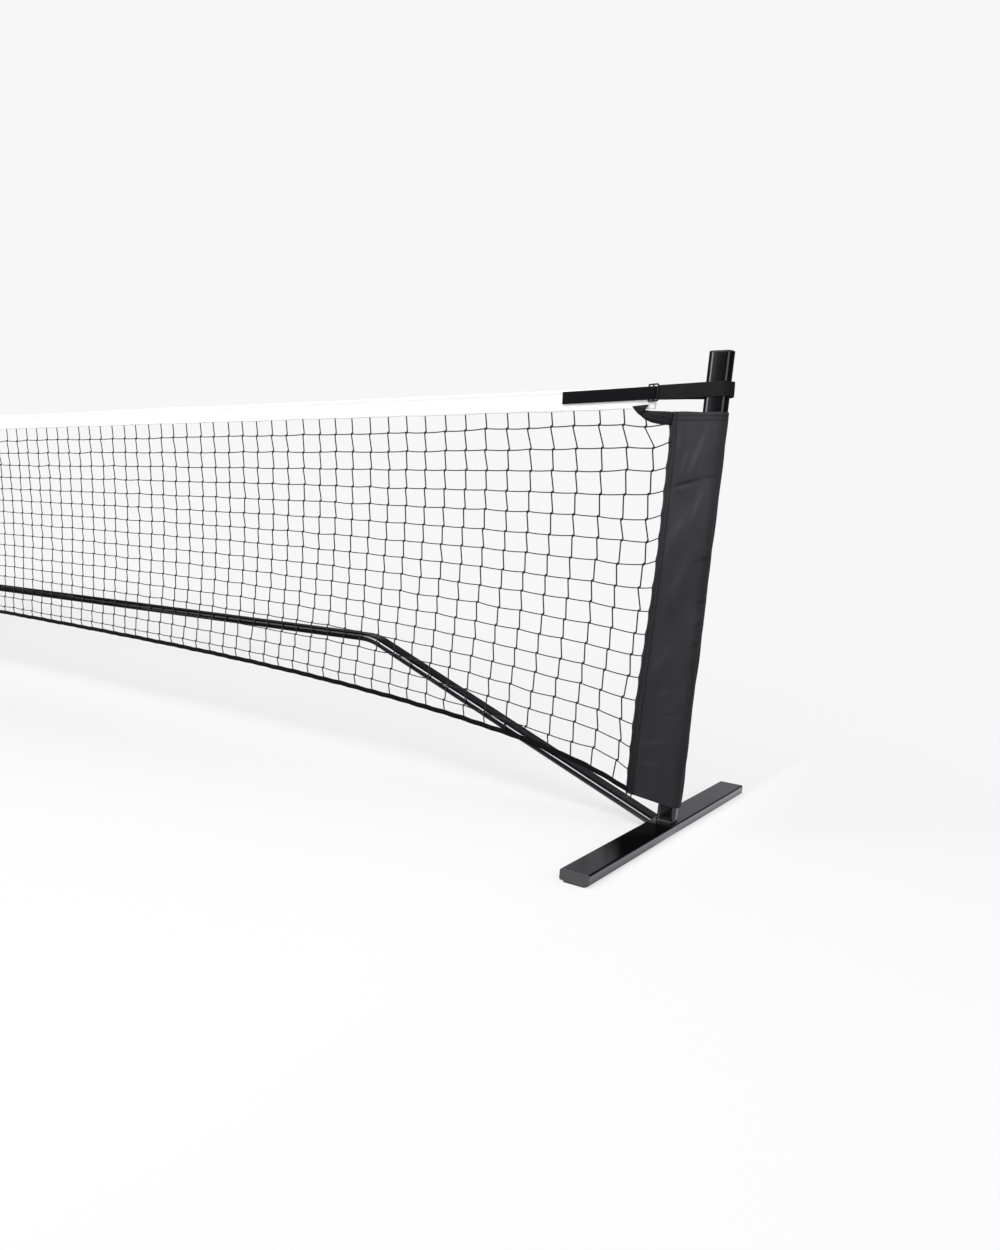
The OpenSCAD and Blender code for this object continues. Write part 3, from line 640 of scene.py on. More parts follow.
# how the mesh hangs: u is the distance from the nearer upright, t runs from 0 at the top row to 1
hang = {
    "bow": 0.017, "lean": 0.008, "leanOff": 0.033, "leanAt": (0, 0.9), "fadeAt": (2.2, 1.1),  # columns
    "drawn": 0.010, "drawnT": 0.12, "drawnAt": (0.243, 0.25),  # outwards under the band
    "topGap": 0.029, "topDrop": 0.009, "dropAt": (0.15, 0.7),  # top row
    "low": 0.244, "lowFall": 0.161, "fallAt": (0.0863, 0.380), "lowLift": 0.045, "liftAt": (0.13, 0.16),
    "crowd": 0.06, "crowdAt": (0, 0.6),  # rows lie closer lower down
    "forward": 0.0012, "belly": 0.0022, "wobble": (0.0010, 0.0006, 0.0008),
}


def fromPost(x):
    return net["postX"] - np.abs(x)


# straight fall from each upright to the centre
def topLine(x):
    return net["topMid"] + (net["topEnd"] - net["topMid"]) * np.abs(x) / net["postX"]


# the bottom tape rises from each sleeve and levels out: a cubic in a falling exponential
def hemLine(x):
    w = decay(fromPost(x), net["hemRise"])
    a, b, c, d = net["hem"]
    return a + w * (b + w * (c + w * d))


# the sleeve's sewn edge, as a distance from the upright: further out low down and at its top corner
def sleeveEdge(z):
    return 0.081 + 0.0135 * stepAt(z, (0.62, -0.42)) + 0.005 * stepAt(z, (0.80, 0.06))


# knot places: i across, j down. Columns stand a little bowed towards the nearer upright and lean
# away from it lower down; rows fall evenly from under the band to the bottom tape.
def netKnots(n, h):
    i, j = np.meshgrid(np.arange(n["columns"]), np.arange(1, n["rows"] + 1), indexing="ij")
    half = n["postX"] - n["columnStart"]
    x = -half + 2 * half * i / (n["columns"] - 1)
    u, t = fromPost(x), (j - 1) / (n["rows"] - 1)
    fade = 1 - stepAt(u, h["fadeAt"])
    bow = h["bow"] * 4 * t * (1 - t) * fade
    lean = (h["lean"] - h["leanOff"] * stepAt(u, h["leanAt"])) * t * fade
    fall = t / h["drawnT"]
    drawn = h["drawn"] * fall * np.exp(1 - fall) * decay(u, h["drawnAt"])
    high = topLine(x) - n["bandHeight"] - h["topGap"] - h["topDrop"] * stepAt(u, h["dropAt"])
    low = h["low"] - h["lowFall"] * decay(u, h["fallAt"]) + h["lowLift"] * decay(u, h["liftAt"])
    even = t + h["crowd"] * (1 - decay(u, h["crowdAt"])) * t * (1 - t)
    z = high + (low - high) * even
    x = x + np.sign(x) * (bow + lean + drawn)
    for k in range(len(nearU)):
        x[k], x[-1 - k] = nearU[k] - n["postX"], n["postX"] - nearU[k]
        z[k] = z[-1 - k] = nearZ[k]
    wobble = rng.normal(0, 1, (3, *i.shape))
    byX, byZ, byY = wobble[0] * h["wobble"][0], wobble[1] * h["wobble"][2], wobble[2] * h["wobble"][1]
    y = n["planeY"] - h["forward"] + byY - h["belly"] * np.sin(x * 5.1 + 1) * np.sin(t * 3.1)
    return grid(x + byX, y, z + byZ)


# between two knots the twine sags a little: a parabola of the given depth
def strung(ends, steps, sag):
    t = (np.arange(steps) / steps)[:, None]
    a, b = ends[:, :-1, None, :], ends[:, 1:, None, :]
    line = a + (b - a) * t + 4 * t * (1 - t) * sag
    return np.concatenate([line.reshape(len(ends), -1, 3), ends[:, -1:]], axis=1)


# a column's twine leaves each knot on one side and comes to the next on the other, so it steps across
# inside the knot, on the slant
def stepped(ends, step):
    a, b = ends[:, :-1, None, :], ends[:, 1:, None, :]
    t = np.array([0.03, 0.12, 0.5, 0.88, 0.97])[:, None]
    line = a + (b - a) * t
    line[..., 0] += step * (2 * smooth(t[:, 0]) - 1)
    return np.concatenate([line.reshape(len(ends), -1, 3), ends[:, -1:]], axis=1)


# where the twine ends, in metres: how far it runs into the seam, the band and round the bottom tape
tuck = {"seam": 0.004, "band": 0.012, "bandLean": 0.003, "bandLeanNear": 0.006, "near": 0.15,
        "hemLean": 0.011, "hemLeanAt": (0.13, 0.09)}
# rows pass a little in front of columns, meet each knot at two heights and sag between knots
lay = {"front": 0.0006, "rowStep": 0.0006, "sag": 0.0009}
knotShape = {"along": (-1.3, -0.8, 0, 0.8, 1.3), "radii": (0.40, 0.85, 1, 0.85, 0.40), "sides": 7,
             "flat": 0.85, "tip": (0.5, 1.1)}


def buildNetting(n):
    knots = netKnots(n, hang)          # columns x rows x 3
    edge = knots[[0, -1]].copy()       # rows end in the sleeves' seams
    edge[..., 2] += rowEndRise
    edge[..., 0] = np.sign(edge[..., 0]) * (n["postX"] - sleeveEdge(edge[..., 2]) + tuck["seam"])
    rows = np.concatenate([edge[:1], knots, edge[1:]]).transpose(1, 0, 2)
    head, foot = knots[:, :1].copy(), knots[:, -1:].copy()
    away, u = -np.sign(knots[:, 0, 0]), fromPost(knots[:, 0, 0])
    head[:, 0, 0] += away * (tuck["bandLean"] + tuck["bandLeanNear"] * (u < tuck["near"]))
    foot[:, 0, 0] += away * tuck["hemLean"] * decay(u, tuck["hemLeanAt"])
    head[:, 0, 2] = topLine(head[:, 0, 0]) - n["bandHeight"] + tuck["band"]
    foot[:, 0, 2] = hemLine(foot[:, 0, 0])
    head[:, 0, 1] = foot[:, 0, 1] = n["planeY"]
    columns = np.concatenate([head, knots, foot], axis=1)
    lift, up = np.array([0, -lay["front"], 0]), np.array([0, 0, 1])
    turns = np.where(np.arange(rows.shape[1]) % 2, 1, -1)[None, :, None]
    rowPaths = strung(rows + lay["rowStep"] * turns * up + lift, 4, -lay["sag"] * up)
    made = strands("nettingRows", rowPaths, n["twine"] / 2, (0, 0, 1))
    strands("nettingColumns", stepped(columns - lift, n["step"]), n["columnTwine"] / 2, (-1, 0, 0))
    # knots: squat spindles tipped by the row's slope, a little turned at random
    shape = spindle(np.array(knotShape["along"]) * n["knot"], np.array(knotShape["radii"]) * n["knot"],
                    knotShape["sides"])
    centres = knots.reshape(-1, 3)
    tip = rng.uniform(*knotShape["tip"], len(centres))
    c, s, zero = np.cos(tip), np.sin(tip), np.zeros(len(centres))
    axes = np.array([(c, zero, s), (zero, zero + knotShape["flat"], zero), (-s, zero, c)]).transpose(2, 0, 1)
    copies("nettingKnots", shape, centres, axes, "netting")
    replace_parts(made, "net_mesh")
    return knots


knots = buildNetting(net)
print("netting made")

# ---------- white band along the top

band = {
    "end": 0.118, "stations": 900, "around": 41, "wall": 0.0007, "inside": 0.0004, "turnIn": 0.010,
    "flat": 0.0013, "cord": 0.0034, "cordAt": 0.0035, "cordOver": 0.0045, "arch": 0.0030,
    "ripple": ((0.0007, 0.112, 0.4), (0.0005, 0.31, 0.0)), "rippleY": 0.6, "rippleZ": 0.8,
    "stitchEnd": 0.004, "stitchUp": 0.005, "stitchOut": 0.00215, "stitchSteps": 400,
    "thread": {"gap": 0.0046, "length": 0.0033, "radius": 0.00030, "finish": "thread_white"},
}


# cross-section from the back's lower edge over the cord in the fold to the front's lower edge:
# two flat sides that swell into an arch at the top
def buildBand(b):
    half = net["postX"] - b["end"]
    x = np.linspace(-half, half, b["stations"])
    turn = np.linspace(0, 1, b["around"])
    drop = np.abs(turn * 2 - 1) ** 1.25 * net["bandHeight"]
    swell = bell(drop - b["cordAt"], b["cordOver"])
    side = np.sign(turn - 0.5) * np.minimum(1, np.sqrt(drop / b["arch"]))
    away = side * (b["flat"] + (b["cord"] - b["flat"]) * swell)
    ripple = waves(x, *b["ripple"]) * (drop / net["bandHeight"])[:, None] ** 3
    y = net["planeY"] - away[:, None] - b["rippleY"] * ripple * np.abs(side)[:, None]
    z = topLine(x) - b["inside"] - drop[:, None] + b["rippleZ"] * ripple
    piece = surface("topBand", grid(x, y, z), "band_white", wall=(b["wall"], 1))
    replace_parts(piece, "top_band")


# one line of stitches on each face, near the lower edge
def stitchBand(b):
    half = net["postX"] - b["end"] - b["stitchEnd"]
    x = np.linspace(-half, half, b["stitchSteps"])
    for face, away in (("front", -b["stitchOut"]), ("back", b["stitchOut"])):
        line = grid(x, net["planeY"] + away, topLine(x) - net["bandHeight"] + b["stitchUp"])
        stitches("bandStitches_" + face, line, **b["thread"])


buildBand(band)
stitchBand(band)
print("band made")

# ---------- black tape along the bottom

hem = {"half": 0.0062, "depth": 0.0017, "stations": 420, "around": 20, "tuck": 0.006, "gather": 0.0006,
       "crumple": ((1.0, 0.056, 0.0), (0.6, 0.173, 1.0)), "puff": 0.1}


# a folded tape: a rounded flat loop carried along the hem's line, denser near the sleeves
def buildHem(h):
    t = np.linspace(-1, 1, h["stations"])
    x = (net["postX"] - net["hemStart"] + h["tuck"]) * np.sign(t) * (1 - (1 - np.abs(t)) ** 1.6)
    turn = fullTurn(h["around"])[:, None]
    crumple = waves(x, *h["crumple"])
    y = net["planeY"] + squared(np.cos(turn), 0.5) * h["depth"] * (1 + h["puff"] * crumple)
    z = hemLine(x) + squared(np.sin(turn), 0.8) * h["half"] + h["gather"] * crumple
    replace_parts(surface("bottomTape", grid(x, y, z), "webbing", closeU=True, capV=True), "bottom_hem")


buildHem(hem)
print("bottom tape made")

# ---------- sleeves round the uprights

sleeve = {
    "top": 0.8632, "low": (0.0712, 0.0580), "halfW": 0.0256, "halfD": 0.0166, "corner": 0.0138,
    "seamStart": 0.072, "edge": 0.0860, "seamHalf": (0.0013, 0.0015), "wall": 0.0010,
    "around": 150, "up": 320, "backPhase": 1.7,
    "swell": 0.0009, "foldDepth": 0.0018, "grooveDepth": 0.0004, "grooveWidth": 0.0013,
    "puff": 0.0006, "puffAt": 0.0116, "puffOver": 0.0030,
    "pull": 0.0018, "pullRest": 0.0007, "pullOver": (0.010, 0.022), "tuck": 0.0007,
    "stitchIn": (0.0072, 0.0160), "stitchDown": (0.0075, 0.0155), "stitchPitch": 0.0042,
    "bar": (0.0045, 0.0185, 0.0310), "proud": 0.0003,  # the bar's two ends and its distance from the top
    "lineWidth": 0.0016, "lineDark": 0.75, "foldLightAndShade": 0.62,
    "stripDark": 0.12, "stripLow": 0.90, "stripSoft": 0.0025, "stripRise": 1 / 3.6,
    "thread": {"gap": 0.0042, "length": 0.0030, "radius": 0.00034, "finish": "thread_dark"},
}


# outline of the sleeve in plan, from the seam's edge along the front and round to the back:
# straight seam, straight panel to the upright's corner, then round corners
def sleeveOutline(s):
    y, seam = net["planeY"], list(zip((s["edge"], s["seamStart"]), s["seamHalf"]))
    front, back = [(-x, y - half) for x, half in seam], [(-x, y + half) for x, half in seam[::-1]]
    corners = []
    for cx, cy, a0, a1 in ((-1, -1, 262, 270), (1, -1, 270, 360), (1, 1, 0, 90), (-1, 1, 90, 138)):
        corners += arc(cx * (s["halfW"] - s["corner"]), cy * (s["halfD"] - s["corner"]), s["corner"],
                       a0, a1, 16)
    ring = np.array(front + corners + back)
    reach = reachAlong(ring)
    at = np.linspace(0, reach[-1], s["around"])
    return placesAt(ring, reach, at), at


# creases of the loose panels: height, place along the panel, lean in degrees from level, half length,
# half width and depth
creases = [
    (0.786, 0.067, 73, 0.040, 0.0060, 0.0018), (0.7285, 0.050, 17, 0.032, 0.0036, -0.0020),
    (0.720, 0.047, 17, 0.028, 0.0042, 0.0011), (0.690, 0.0790, 77, 0.034, 0.0060, 0.0014),
    (0.742, 0.1040, 8, 0.013, 0.0030, -0.0013), (0.583, 0.1040, 27, 0.017, 0.0035, -0.0014),
    (0.499, 0.110, 27, 0.012, 0.0032, -0.0014), (0.454, 0.112, 31, 0.013, 0.0032, -0.0012),
    (0.411, 0.108, 32, 0.016, 0.0032, -0.0011), (0.260, 0.0785, 17, 0.024, 0.0030, -0.0010),
    (0.192, 0.0435, 18, 0.030, 0.0050, 0.0010), (0.144, 0.036, 0, 0.030, 0.0050, 0.0011),
    (0.297, 0.047, 31, 0.026, 0.0045, 0.0009), (0.808, 0.025, 83, 0.018, 0.0045, 0.0012),
    (0.773, 0.0430, 80, 0.022, 0.0050, 0.0012), (0.640, 0.043, 60, 0.040, 0.0080, 0.0010),
    (0.545, 0.058, 70, 0.045, 0.0080, 0.0009), (0.370, 0.040, 60, 0.035, 0.0070, 0.0008),
]


# outward swell of the cloth: soft waves along the height plus the sharp creases, none at the seam, and a
# groove along each line of stitches
def sleeveSwell(along, z, flip, s):
    loose = stepAt(along, (0.020, 0.012))
    soft = 0.0008 * np.sin(z * 21 + along * 30 + flip) + 0.0006 * np.sin(z * 47 - along * 55 + 2 * flip)
    sharp = 0
    for height, place, lean, length, width, depth in creases:
        c, q = math.cos(math.radians(lean)), math.sin(math.radians(lean))
        a, b = along - place, z - height - 0.03 * flip
        sharp = sharp + depth * bell(a * c + b * q, length) * bell(b * c - a * q, width)
    grooves = sum(bell(along - inset, s["grooveWidth"]) for inset in s["stitchIn"])
    grooves = grooves + sum(bell(s["top"] - z - drop, s["grooveWidth"]) for drop in s["stitchDown"])
    puffed = s["puff"] * bell(along - s["puffAt"], s["puffOver"]) * (1 + 0.5 * np.sin(z * 310))
    swell = (s["swell"] + soft + sharp) * loose + puffed - s["grooveDepth"] * grooves
    # the second value is the creases' relief, which the cloth turns into painted light and shade
    return swell, sharp / s["foldDepth"]


def buildSleeve(side, s):
    ring, at = sleeveOutline(s)
    inset = np.minimum(at, at[-1] - at)[:, None]           # distance from the seam's edge
    rise = np.linspace(0, 1, s["up"])[None, :]
    # the lower hem slopes: high at the seam's edge, low at the outer side
    slope = (ring[:, :1] + s["edge"]) / (s["edge"] + s["halfW"])
    low = s["low"][0] + (s["low"][1] - s["low"][0]) * slope
    z = low + (s["top"] - low) * rise
    flip = (at > at[-1] / 2)[:, None] * s["backPhase"]     # the back's waves and creases differ
    outward = outwardOf(ring)
    swell, fold = sleeveSwell(inset, z, flip, s)
    # the net's rows pull small points out of the seam's edge
    ends = knots[0, :, 2] + rowEndRise
    pull = bell(z[..., None] - ends, s["pullOver"][0]).sum(2) * s["pull"] - s["pullRest"]
    pull = (pull + sleeveEdge(z) - s["edge"]) * bell(inset, s["pullOver"][1])
    x = ring[:, :1] + outward[:, :1] * swell - pull
    y = ring[:, 1:] + outward[:, 1:] * swell
    z = z + s["tuck"] * np.sin(at[:, None] * 60) * stepAt(np.abs(rise - 0.5), (0.46, 0.03))
    points = onSide(grid(x, y, z), side)
    fold = fold[::sides[side]]
    piece = surface("sleeveCloth_" + side, points, "seamed_fabric", wall=(s["wall"], -1), fold=fold)
    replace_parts(piece, "sleeve_" + side)
    return points


# two lines down the seam, two along the top and a short bar across the corner, each just proud of the cloth
def sleeveStitches(side, points, s):
    outer = points if sides[side] > 0 else points[::-1]
    start, end, down = s["bar"]
    for face, order in (("front", outer), ("back", outer[::-1])):
        places = (*s["stitchIn"], s["edge"] + s["halfW"], start, end)
        column = [int(k) for k in np.searchsorted(reachAlong(order[:, 150]), places)]
        row = [int(np.argmin(np.abs(outer[0, :, 2] - s["top"] + drop))) for drop in (*s["stitchDown"], down)]
        lines = [order[column[0]], order[column[1]], order[2:column[2], row[0]], order[2:column[2], row[1]],
                 order[column[3]:column[4], row[2]]]
        push = np.array([0, -s["proud"] if face == "front" else s["proud"], 0])
        for count, line in enumerate(lines):
            stitches("sleeveStitches_%s_%s_%d" % (side, face, count), line + push, **s["thread"])


seams = {**sleeve, "ring": float(sleeveOutline(sleeve)[1][-1])}
finishes["seamed_fabric"] = clothFinish("seamedCloth", cloth, seams)
for side in sides:
    sleeveStitches(side, buildSleeve(side, sleeve), sleeve)
print("sleeves made")

# ---------- corner tabs and straps

# the edges of a tab from its tip to the sleeve, as distance from the upright's axis and height
tab = {
    "upper": ((-0.1640, 0.8735), (-0.1500, 0.8725), (-0.1385, 0.8672), (-0.1250, 0.8655), (-0.1050, 0.8648),
              (-0.0850, 0.8640), (-0.0785, 0.8620)),
    "lower": ((-0.1610, 0.8690), (-0.1520, 0.8590), (-0.1380, 0.8490), (-0.1230, 0.8430), (-0.1080, 0.8402),
              (-0.0940, 0.8385), (-0.0790, 0.8378)),
    "front": 0.0219, "swell": 0.0019, "pucker": 0.0005, "wall": 0.0010, "along": 40, "across": 15,
}
# the flap folded over its tip
flap = {
    **tab,
    "upper": ((-0.1675, 0.8746), (-0.1550, 0.8756), (-0.1430, 0.8766), (-0.1320, 0.8772)),
    "lower": ((-0.1665, 0.8732), (-0.1600, 0.8655), (-0.1500, 0.8570), (-0.1392, 0.8640)),
    "front": 0.0241,
}


# a pillow of cloth between two edges: the face swells between them, with puckers that fan out from the sleeve
def buildTab(name, side, p):
    along = np.linspace(0, 1, p["along"])
    across = np.linspace(0, 1, p["across"])[:, None]
    upper, lower = [eased(placesAt(np.array(edge), np.linspace(0, 1, len(edge)), along), 4)
                    for edge in (p["upper"], p["lower"])]
    flat = lower[None] + (upper - lower)[None] * across[..., None]
    swell = p["swell"] * (1 - np.abs(2 * across - 1) ** 3)
    pucker = p["pucker"] * np.sin(across * 17 + along * 5) * np.sin(np.pi * across) * along
    points = onSide(grid(flat[..., 0], -p["front"] - swell - pucker, flat[..., 1])[:, ::-1], side, 1)
    piece = surface(name + "_" + side, points, "tab_fabric", wall=(p["wall"], -1))
    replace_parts(piece, "corner_tab_" + side)
    outline = np.concatenate([upper, lower[::-1]])
    ahead = np.roll(outline, -1, 0)
    area = abs(float((outline[:, 0] * ahead[:, 1] - outline[:, 1] * ahead[:, 0]).sum())) / 2


strap = {
    "width": 0.028, "thick": 0.0016, "z": 0.905, "slope": math.radians(2.6), "end": 0.330,
    "buckle": 0.124, "gap": 0.0010, "around": 24, "spacing": 0.002,
    "upright": (0.024, 0.015, 0.012),  # half sizes and corner radius
    "slack": 0.0050,  # at the outer back corner
}
tail = {**strap, "width": 0.0248, "z": 0.9024, "slope": math.radians(1.7)}      # laid along the band
anchor = {**tail, "width": 0.0236, "thick": 0.0014}                             # behind the buckle


# carries a strip upright along a plan path: the section is a flat loop with round selvedges
def strip(name, path, s, side, finish="webbing"):
    path = np.array(path, float)
    reach = reachAlong(path)
    at = np.linspace(0, reach[-1], max(int(reach[-1] / s["spacing"]), 12))
    plan = eased(placesAt(path, reach, at), 3)
    outward = outwardOf(plan)
    turn = fullTurn(s["around"])[:, None]
    tall = squared(np.sin(turn), 0.6) * s["width"] / 2
    deep = squared(np.cos(turn), 0.35) * s["thick"] / 2
    x, y = plan[:, 0] + outward[:, 0] * deep, plan[:, 1] + outward[:, 1] * deep
    c, q = math.cos(s["slope"]), math.sin(s["slope"])
    points = grid(x * c - tall * q, y, x * q + tall * c + s["z"])
    return surface(name, onSide(points[::-1], side), finish, closeU=True, capV=True)


def buildStrap(side, s):
    w, d, c = s["upright"]
    out = s["gap"] + s["thick"] / 2
    y = net["planeY"]
    loop = [(-0.1135, -0.0228), (-0.060, -0.0196), (-w + c, -d - out)]
    loop += arc(w - c, -d + c, c + out, 270, 360) + arc(w - c + s["slack"], d - c, c + out + 0.0006, 0, 90)
    loop += arc(-w + c, d - c, c + out, 90, 150) + [(-0.060, -0.0060), (-0.1075, -0.0212)]
    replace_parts(strip("strapLoop_" + side, loop, s, side, "strap_webbing"), "strap_" + side)
    end = [(-0.1140, -0.0229), (-0.1205, -0.0275), (-0.1260, -0.0276), (-0.1460, -0.0270),
           (-0.1700, y - 0.0060), (-0.2300, y - 0.0058), (-0.2900, y - 0.0060), (-s["end"], y - 0.0056)]
    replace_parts(strip("strapTail_" + side, end, tail, side), "strap_" + side)
    hold = [(-s["buckle"] + x, y - out) for x, out in ((-0.026, 0.0026), (0, 0.0027), (0.008, 0.0026))]
    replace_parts(strip("strapAnchor_" + side, hold, anchor, side), "strap_anchors")


for side in sides:
    buildTab("cornerTab", side, tab)
    buildTab("tabFlap", side, flap)
    buildStrap(side, strap)
print("tabs and straps made")

# ---------- loops and pocket

loop = {"ring": 0.0052, "wide": 1.15, "twist": 0.0006, "cord": 0.0015, "centre": (-0.0845, -0.0040, 0.0690)}


# a small tied cord: a circle that dips towards the tape, carried round as a thin tube
def buildLoop(side, p):
    a = fullTurn(40)
    centre = np.array(p["centre"]) + (net["postX"], net["planeY"], 0)
    path = centre + np.stack([p["ring"] * np.cos(a) * p["wide"], p["twist"] * np.sin(2 * a),
                              p["ring"] * np.sin(a)], 1)
    ahead = normalised(np.roll(path, -1, axis=0) - np.roll(path, 1, axis=0))
    points = tubePoints(path, ahead, (0, 1.0, 0), p["cord"]) * np.array([sides[side], 1, 1])
    if sides[side] > 0:
        points = points[::-1]
    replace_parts(surface("hemLoop_" + side, points, "loop_cord", closeU=True, closeV=True), "hem_loops")


pocket = {"radius": 0.0086, "top": 0.8618, "length": 0.160, "wall": 0.0010, "cut": 0.062,
          "front": 0.0019, "lip": ((0.012, 0), (0.0105, 0.004)), "up": 60, "dome": 6, "domeHigh": 0.002,
          "domeTurn": 1.5, "wave": 0.0004}


# a flat-fronted tube of cloth on the centre pole, closed at its top by a low dome
def buildPocket(p):
    front, up = net["planeY"] + p["front"], p["up"]
    lip = [(x, front + y) for x, y in p["lip"]]
    ring = np.array(lip + arc(0, 0, p["radius"], -30, 210, 34) + [(-x, y) for x, y in lip[::-1]])
    points = np.zeros((len(ring), up + p["dome"], 3))
    points[:, :up, :2] = ring[:, None]
    points[:, :up, 2] = np.linspace(p["top"] - p["length"], p["top"] - p["domeHigh"], up)
    t = np.arange(1, p["dome"] + 1) / p["dome"] * p["domeTurn"]
    points[:, up:, 0] = ring[:, :1] * np.cos(t)
    points[:, up:, 1] = front + (ring[:, 1:] - front) * np.cos(t)
    points[:, up:, 2] = p["top"] - p["domeHigh"] + p["domeHigh"] * np.sin(t)
    points[..., 1] += p["wave"] * np.sin(points[..., 2] * 90)
    piece = surface("centrePocket", points, "sleeve_fabric", wall=(p["wall"], 1))
    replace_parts(piece, "centre_pocket")


for side in sides:
    buildLoop(side, loop)
buildPocket(pocket)
print("loops and pocket made")

# ---------- weld beads

# half and corner are the stub's half sizes and corner radius, a little inside its wall
weld = {"half": (0.02145, 0.01245), "corner": 0.00945, "z": 0.0252, "radius": 0.0016, "lumps": 0.0004,
        "ripple": 0.0030, "pitch": 0.0008}


# a bead along a line: a thin tube whose radius ripples as the weld's steps
def buildBead(name, path, w):
    path = np.array(path, float)
    reach = reachAlong(path)
    at = np.linspace(0, reach[-1], int(reach[-1] / w["pitch"]) + 4)
    line = placesAt(path, reach, at)
    fat = (w["radius"] + w["lumps"] * np.sin(at / w["ripple"] * 2 * math.pi))[None, :, None]
    points = tubePoints(line, normalised(np.gradient(line, axis=0)), (0.02, 0.03, 1.0), fat)
    surface(name, points[::-1], "powder_coat", "frame", closeU=True, capV=True)


for side, sign in sides.items():
    r = weld["corner"]
    cx, cy = weld["half"][0] - r, weld["half"][1] - r
    path = arc(cx, -cy, r, 270, 360) + arc(cx, cy, r, 0, 90)
    path += arc(-cx, cy, r, 90, 180) + arc(-cx, -cy, r, 180, 270)
    ring = [(sign * (net["postX"] + x), y, weld["z"]) for x, y in path + path[:1]]
    buildBead("stubBead_" + side, ring, weld)
print("weld beads made")

# ---------- floor, light and backdrop

studio = {
    "ambient": 0.62, "dark": 0.010, "backdrop": (0.931, 0.931, 0.933), "glossTint": (0.985, 0.968, 1.045),
    # what gloss reflects: azimuth from -Y towards -X, elevation, half width, half height, strength
    "panels": [
        (21, 41, 19, 18, 22.0),  # bright panel high in front
        (46, 8, 9, 26, 7.0),  # narrow strip beside the camera
        (48, 8, 24, 26, 0.7),  # its spill
        (-55, 8, 14, 36, 2.6),  # strip on the right
        (160, 14, 32, 13, 0.42),  # backdrop
    ],
    # name, place, aim, width and height, power
    "lamps": [
        ("keyLight", (1.5, -3.5, 4.2), (1.2, 0, 0.3), (6, 3), 285),
        ("fillLight", (-2.0, -4.5, 2.2), (2.6, 0, 0.4), (3, 3), 52),
        ("rimLight", (6.6, 1.4, 1.6), (3.35, 0, 0.5), (2, 2), 34),
    ],
}
floor = {
    "half": 40, "colour": (0.76, 0.76, 0.765), "near": (1.000, 0.998, 1.006),
    "farWide": 0.45, "farFrom": 1.2, "farOver": 2.0,  # where the backdrop's tone takes over
    # painted shadows in the floor's glow: dip, a soft band behind the net, and underNet, a thin one along the
    # net's line
    "dip": 0.035, "dipAt": 0.75, "dipSharp": 3.0,  # a soft dark band behind the net
    "underNet": 0.012, "underAt": -0.05, "underSharp": 5.0,
    # leftDip: painted shade on the left near the front, where the lamps light the floor more, so that the
    # floor reads even
    "leftDip": 0.125, "leftFrom": 2.0, "leftFall": 0.62, "leftNear": 3.0,
    # painted reflection: what gloss sees of the floor, dark between the posts and glowing outside them
    "mirrored": (0.22, 1.2),  # what gloss sees of the floor between the posts and outside them
    # outsideLift: painted light, more glow beside the right foot that lifts its shadow
    "lift": 0.55, "farLift": 0.45, "outsideLift": 0.42, "outsideFrom": 0.025, "outsideSoft": 0.025,
    "besideAt": 0.03, "besideSharp": (60.0, 1.6), "belowAt": -0.03, "belowSharp": 70.0,
}
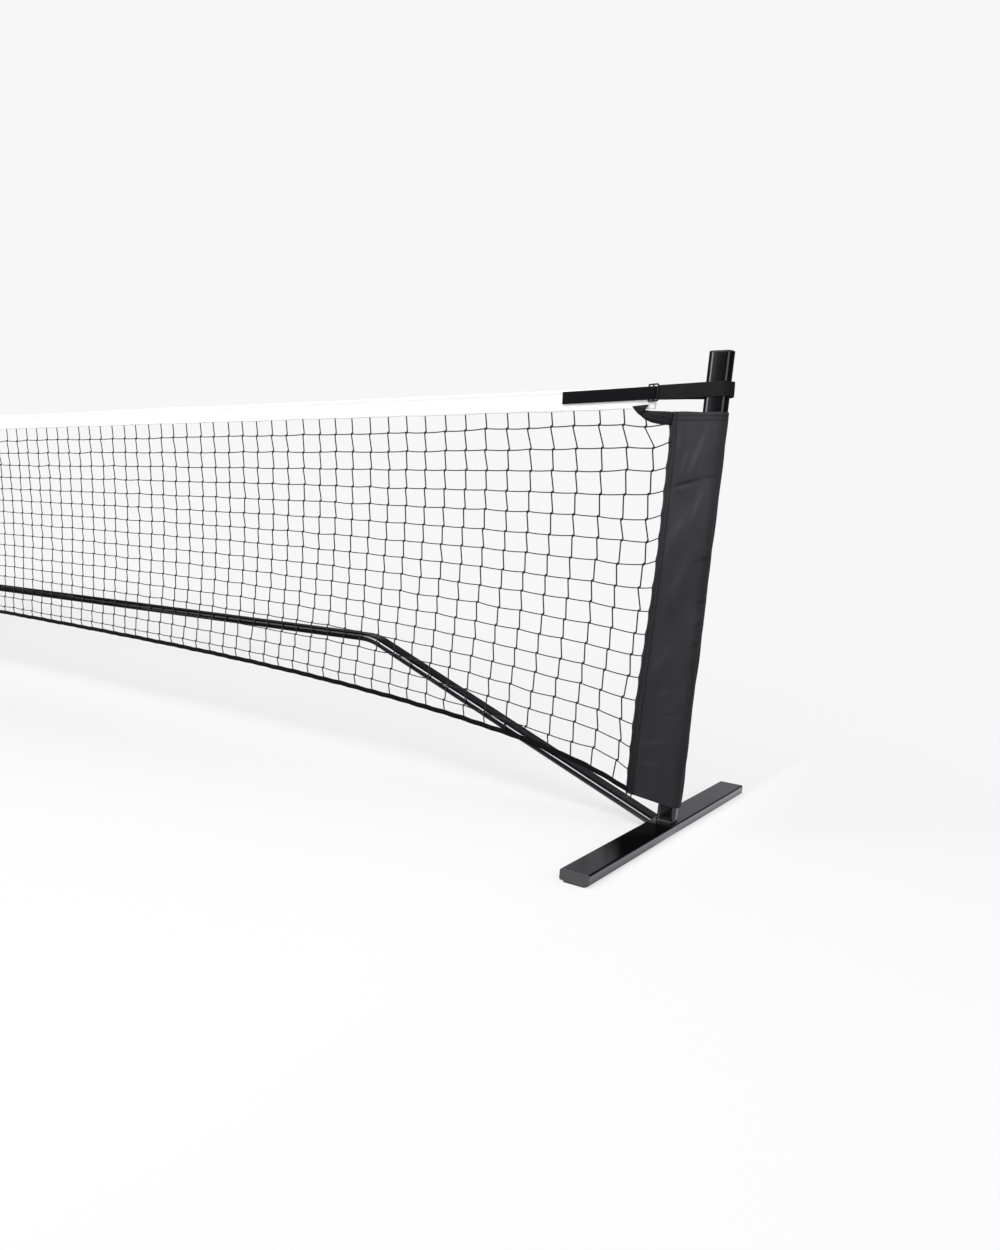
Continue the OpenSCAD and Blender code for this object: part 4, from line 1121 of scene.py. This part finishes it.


# the pale floor turns into the backdrop with distance; near the net it takes light and so keeps the shadow,
# and painted shadows and shade darken its glow
def buildFloor(p, s):
    data = bpy.data.meshes.new("floor")
    e = p["half"]
    data.from_pydata([(-e, -e, 0), (e, -e, 0), (e, e, 0), (-e, e, 0)], [], [(0, 1, 2, 3)])
    piece = addObject("floor", data)
    f = Finish("paleFloor", Roughness=0.6, Specular_IOR_Level=0.1, Base_Color=p["colour"])
    x, y, _ = f.split(f.coords())
    far = ((((x * p["farWide"]) ** 2.0 + y ** 2.0) ** 0.5 - p["farFrom"]) / p["farOver"]).clamp()
    dip = (y - p["dipAt"]).bell(p["dipSharp"]) * p["dip"] \
        + (y - p["underAt"]).bell(p["underSharp"]) * p["underNet"] \
        + (p["leftFrom"] - x * p["leftFall"]).clamp() * (y * -p["leftNear"]).clamp() * p["leftDip"]
    shown = f.mix(far, f.mix(dip, p["near"], grey(0.0)), s["backdrop"])
    # painted light: beside the right foot more glow lifts the foot's shadow, and outside the feet the post
    # mirrors the brighter floor
    outside = ((x.abs() - net["postX"] - p["outsideFrom"]) / p["outsideSoft"]).clamp()
    acrossSharp, alongSharp = p["besideSharp"]
    beside = (x - net["postX"] - p["besideAt"]).bell(acrossSharp) * y.bell(alongSharp) * outside
    below = (y - p["belowAt"]).bell(p["belowSharp"]).maths("MAXIMUM", outside)
    # the painted reflection: dark floor between the posts, glowing floor outside them and under the net's
    # line
    inside, beyond = [[share * part for part in s["glossTint"]] for share in p["mirrored"]]
    gloss = f.ray("Glossy")
    glow = f.add("ShaderNodeEmission", None, {"Color": f.mix(gloss, shown, f.mix(below, inside, beyond))})
    seen = (f.ray("Camera") + f.ray("Transmission")).clamp()
    lift = (p["lift"] + beside * p["outsideLift"] + far * p["farLift"]).clamp()
    data.materials.append(f.cover((seen * lift + gloss).clamp(), glow))


# plain light for cloth and floor, a pale backdrop for the camera, soft panels in the dark for gloss
def lightWorld(s):
    world = bpy.data.worlds.new("studio")
    bpy.context.scene.world = world
    g = Graph(world)
    ahead = g.add("ShaderNodeTexCoord", out="Generated")

    def background(colour, strength):
        return g.add("ShaderNodeBackground", None, {"Color": colour, "Strength": strength})

    def along(*direction):
        return g.vector("DOT_PRODUCT", {0: ahead, 1: direction}, "Value")

    # each panel: e to the minus fourth powers of the offsets over its half sizes
    total = s["dark"]
    for azimuth, elevation, halfWidth, halfHeight, strength in s["panels"]:
        a, e = math.radians(azimuth), math.radians(elevation)
        wide, high = math.sin(math.radians(halfWidth)), math.sin(math.radians(halfHeight))
        across = along(-math.cos(a), math.sin(a), 0) / wide
        upward = along(math.sin(a) * math.sin(e), math.cos(a) * math.sin(e), math.cos(e)) / high
        facing = along(-math.sin(a) * math.cos(e), -math.cos(a) * math.cos(e), math.sin(e)).over(0)
        across, upward = across * across, upward * upward
        fade = ((across * across + upward * upward) * -1.0).maths("EXPONENT")
        total = fade * facing * strength + total
    panels = background(s["glossTint"], total)
    lit = g.blend(g.ray("Glossy"), background(grey(1.0), s["ambient"]), panels)
    seen = (g.ray("Camera") + g.ray("Transmission")).clamp()
    shown = g.blend(seen, lit, background(s["backdrop"], 1.0))
    g.node("ShaderNodeOutputWorld", None, {"Surface": shown})


def softLight(name, place, aim, size, power):
    data = bpy.data.lights.new(name, "AREA")
    data.shape, data.size, data.size_y, data.energy = "RECTANGLE", size[0], size[1], power
    lamp = addObject(name, data)
    back = normalised(np.array(place, float) - np.array(aim, float))
    right = normalised(np.cross(np.array([0.0, 0.0, 1.0]), back))
    setPlace(lamp, np.stack([right, np.cross(back, right), back], 1), place)
    lamp.visible_glossy = False      # gloss sees the world's panels instead


buildFloor(floor, studio)
lightWorld(studio)
for lamp in studio["lamps"]:
    softLight(*lamp)
bpy.context.scene.view_settings.view_transform = "Standard"
print("studio lit")
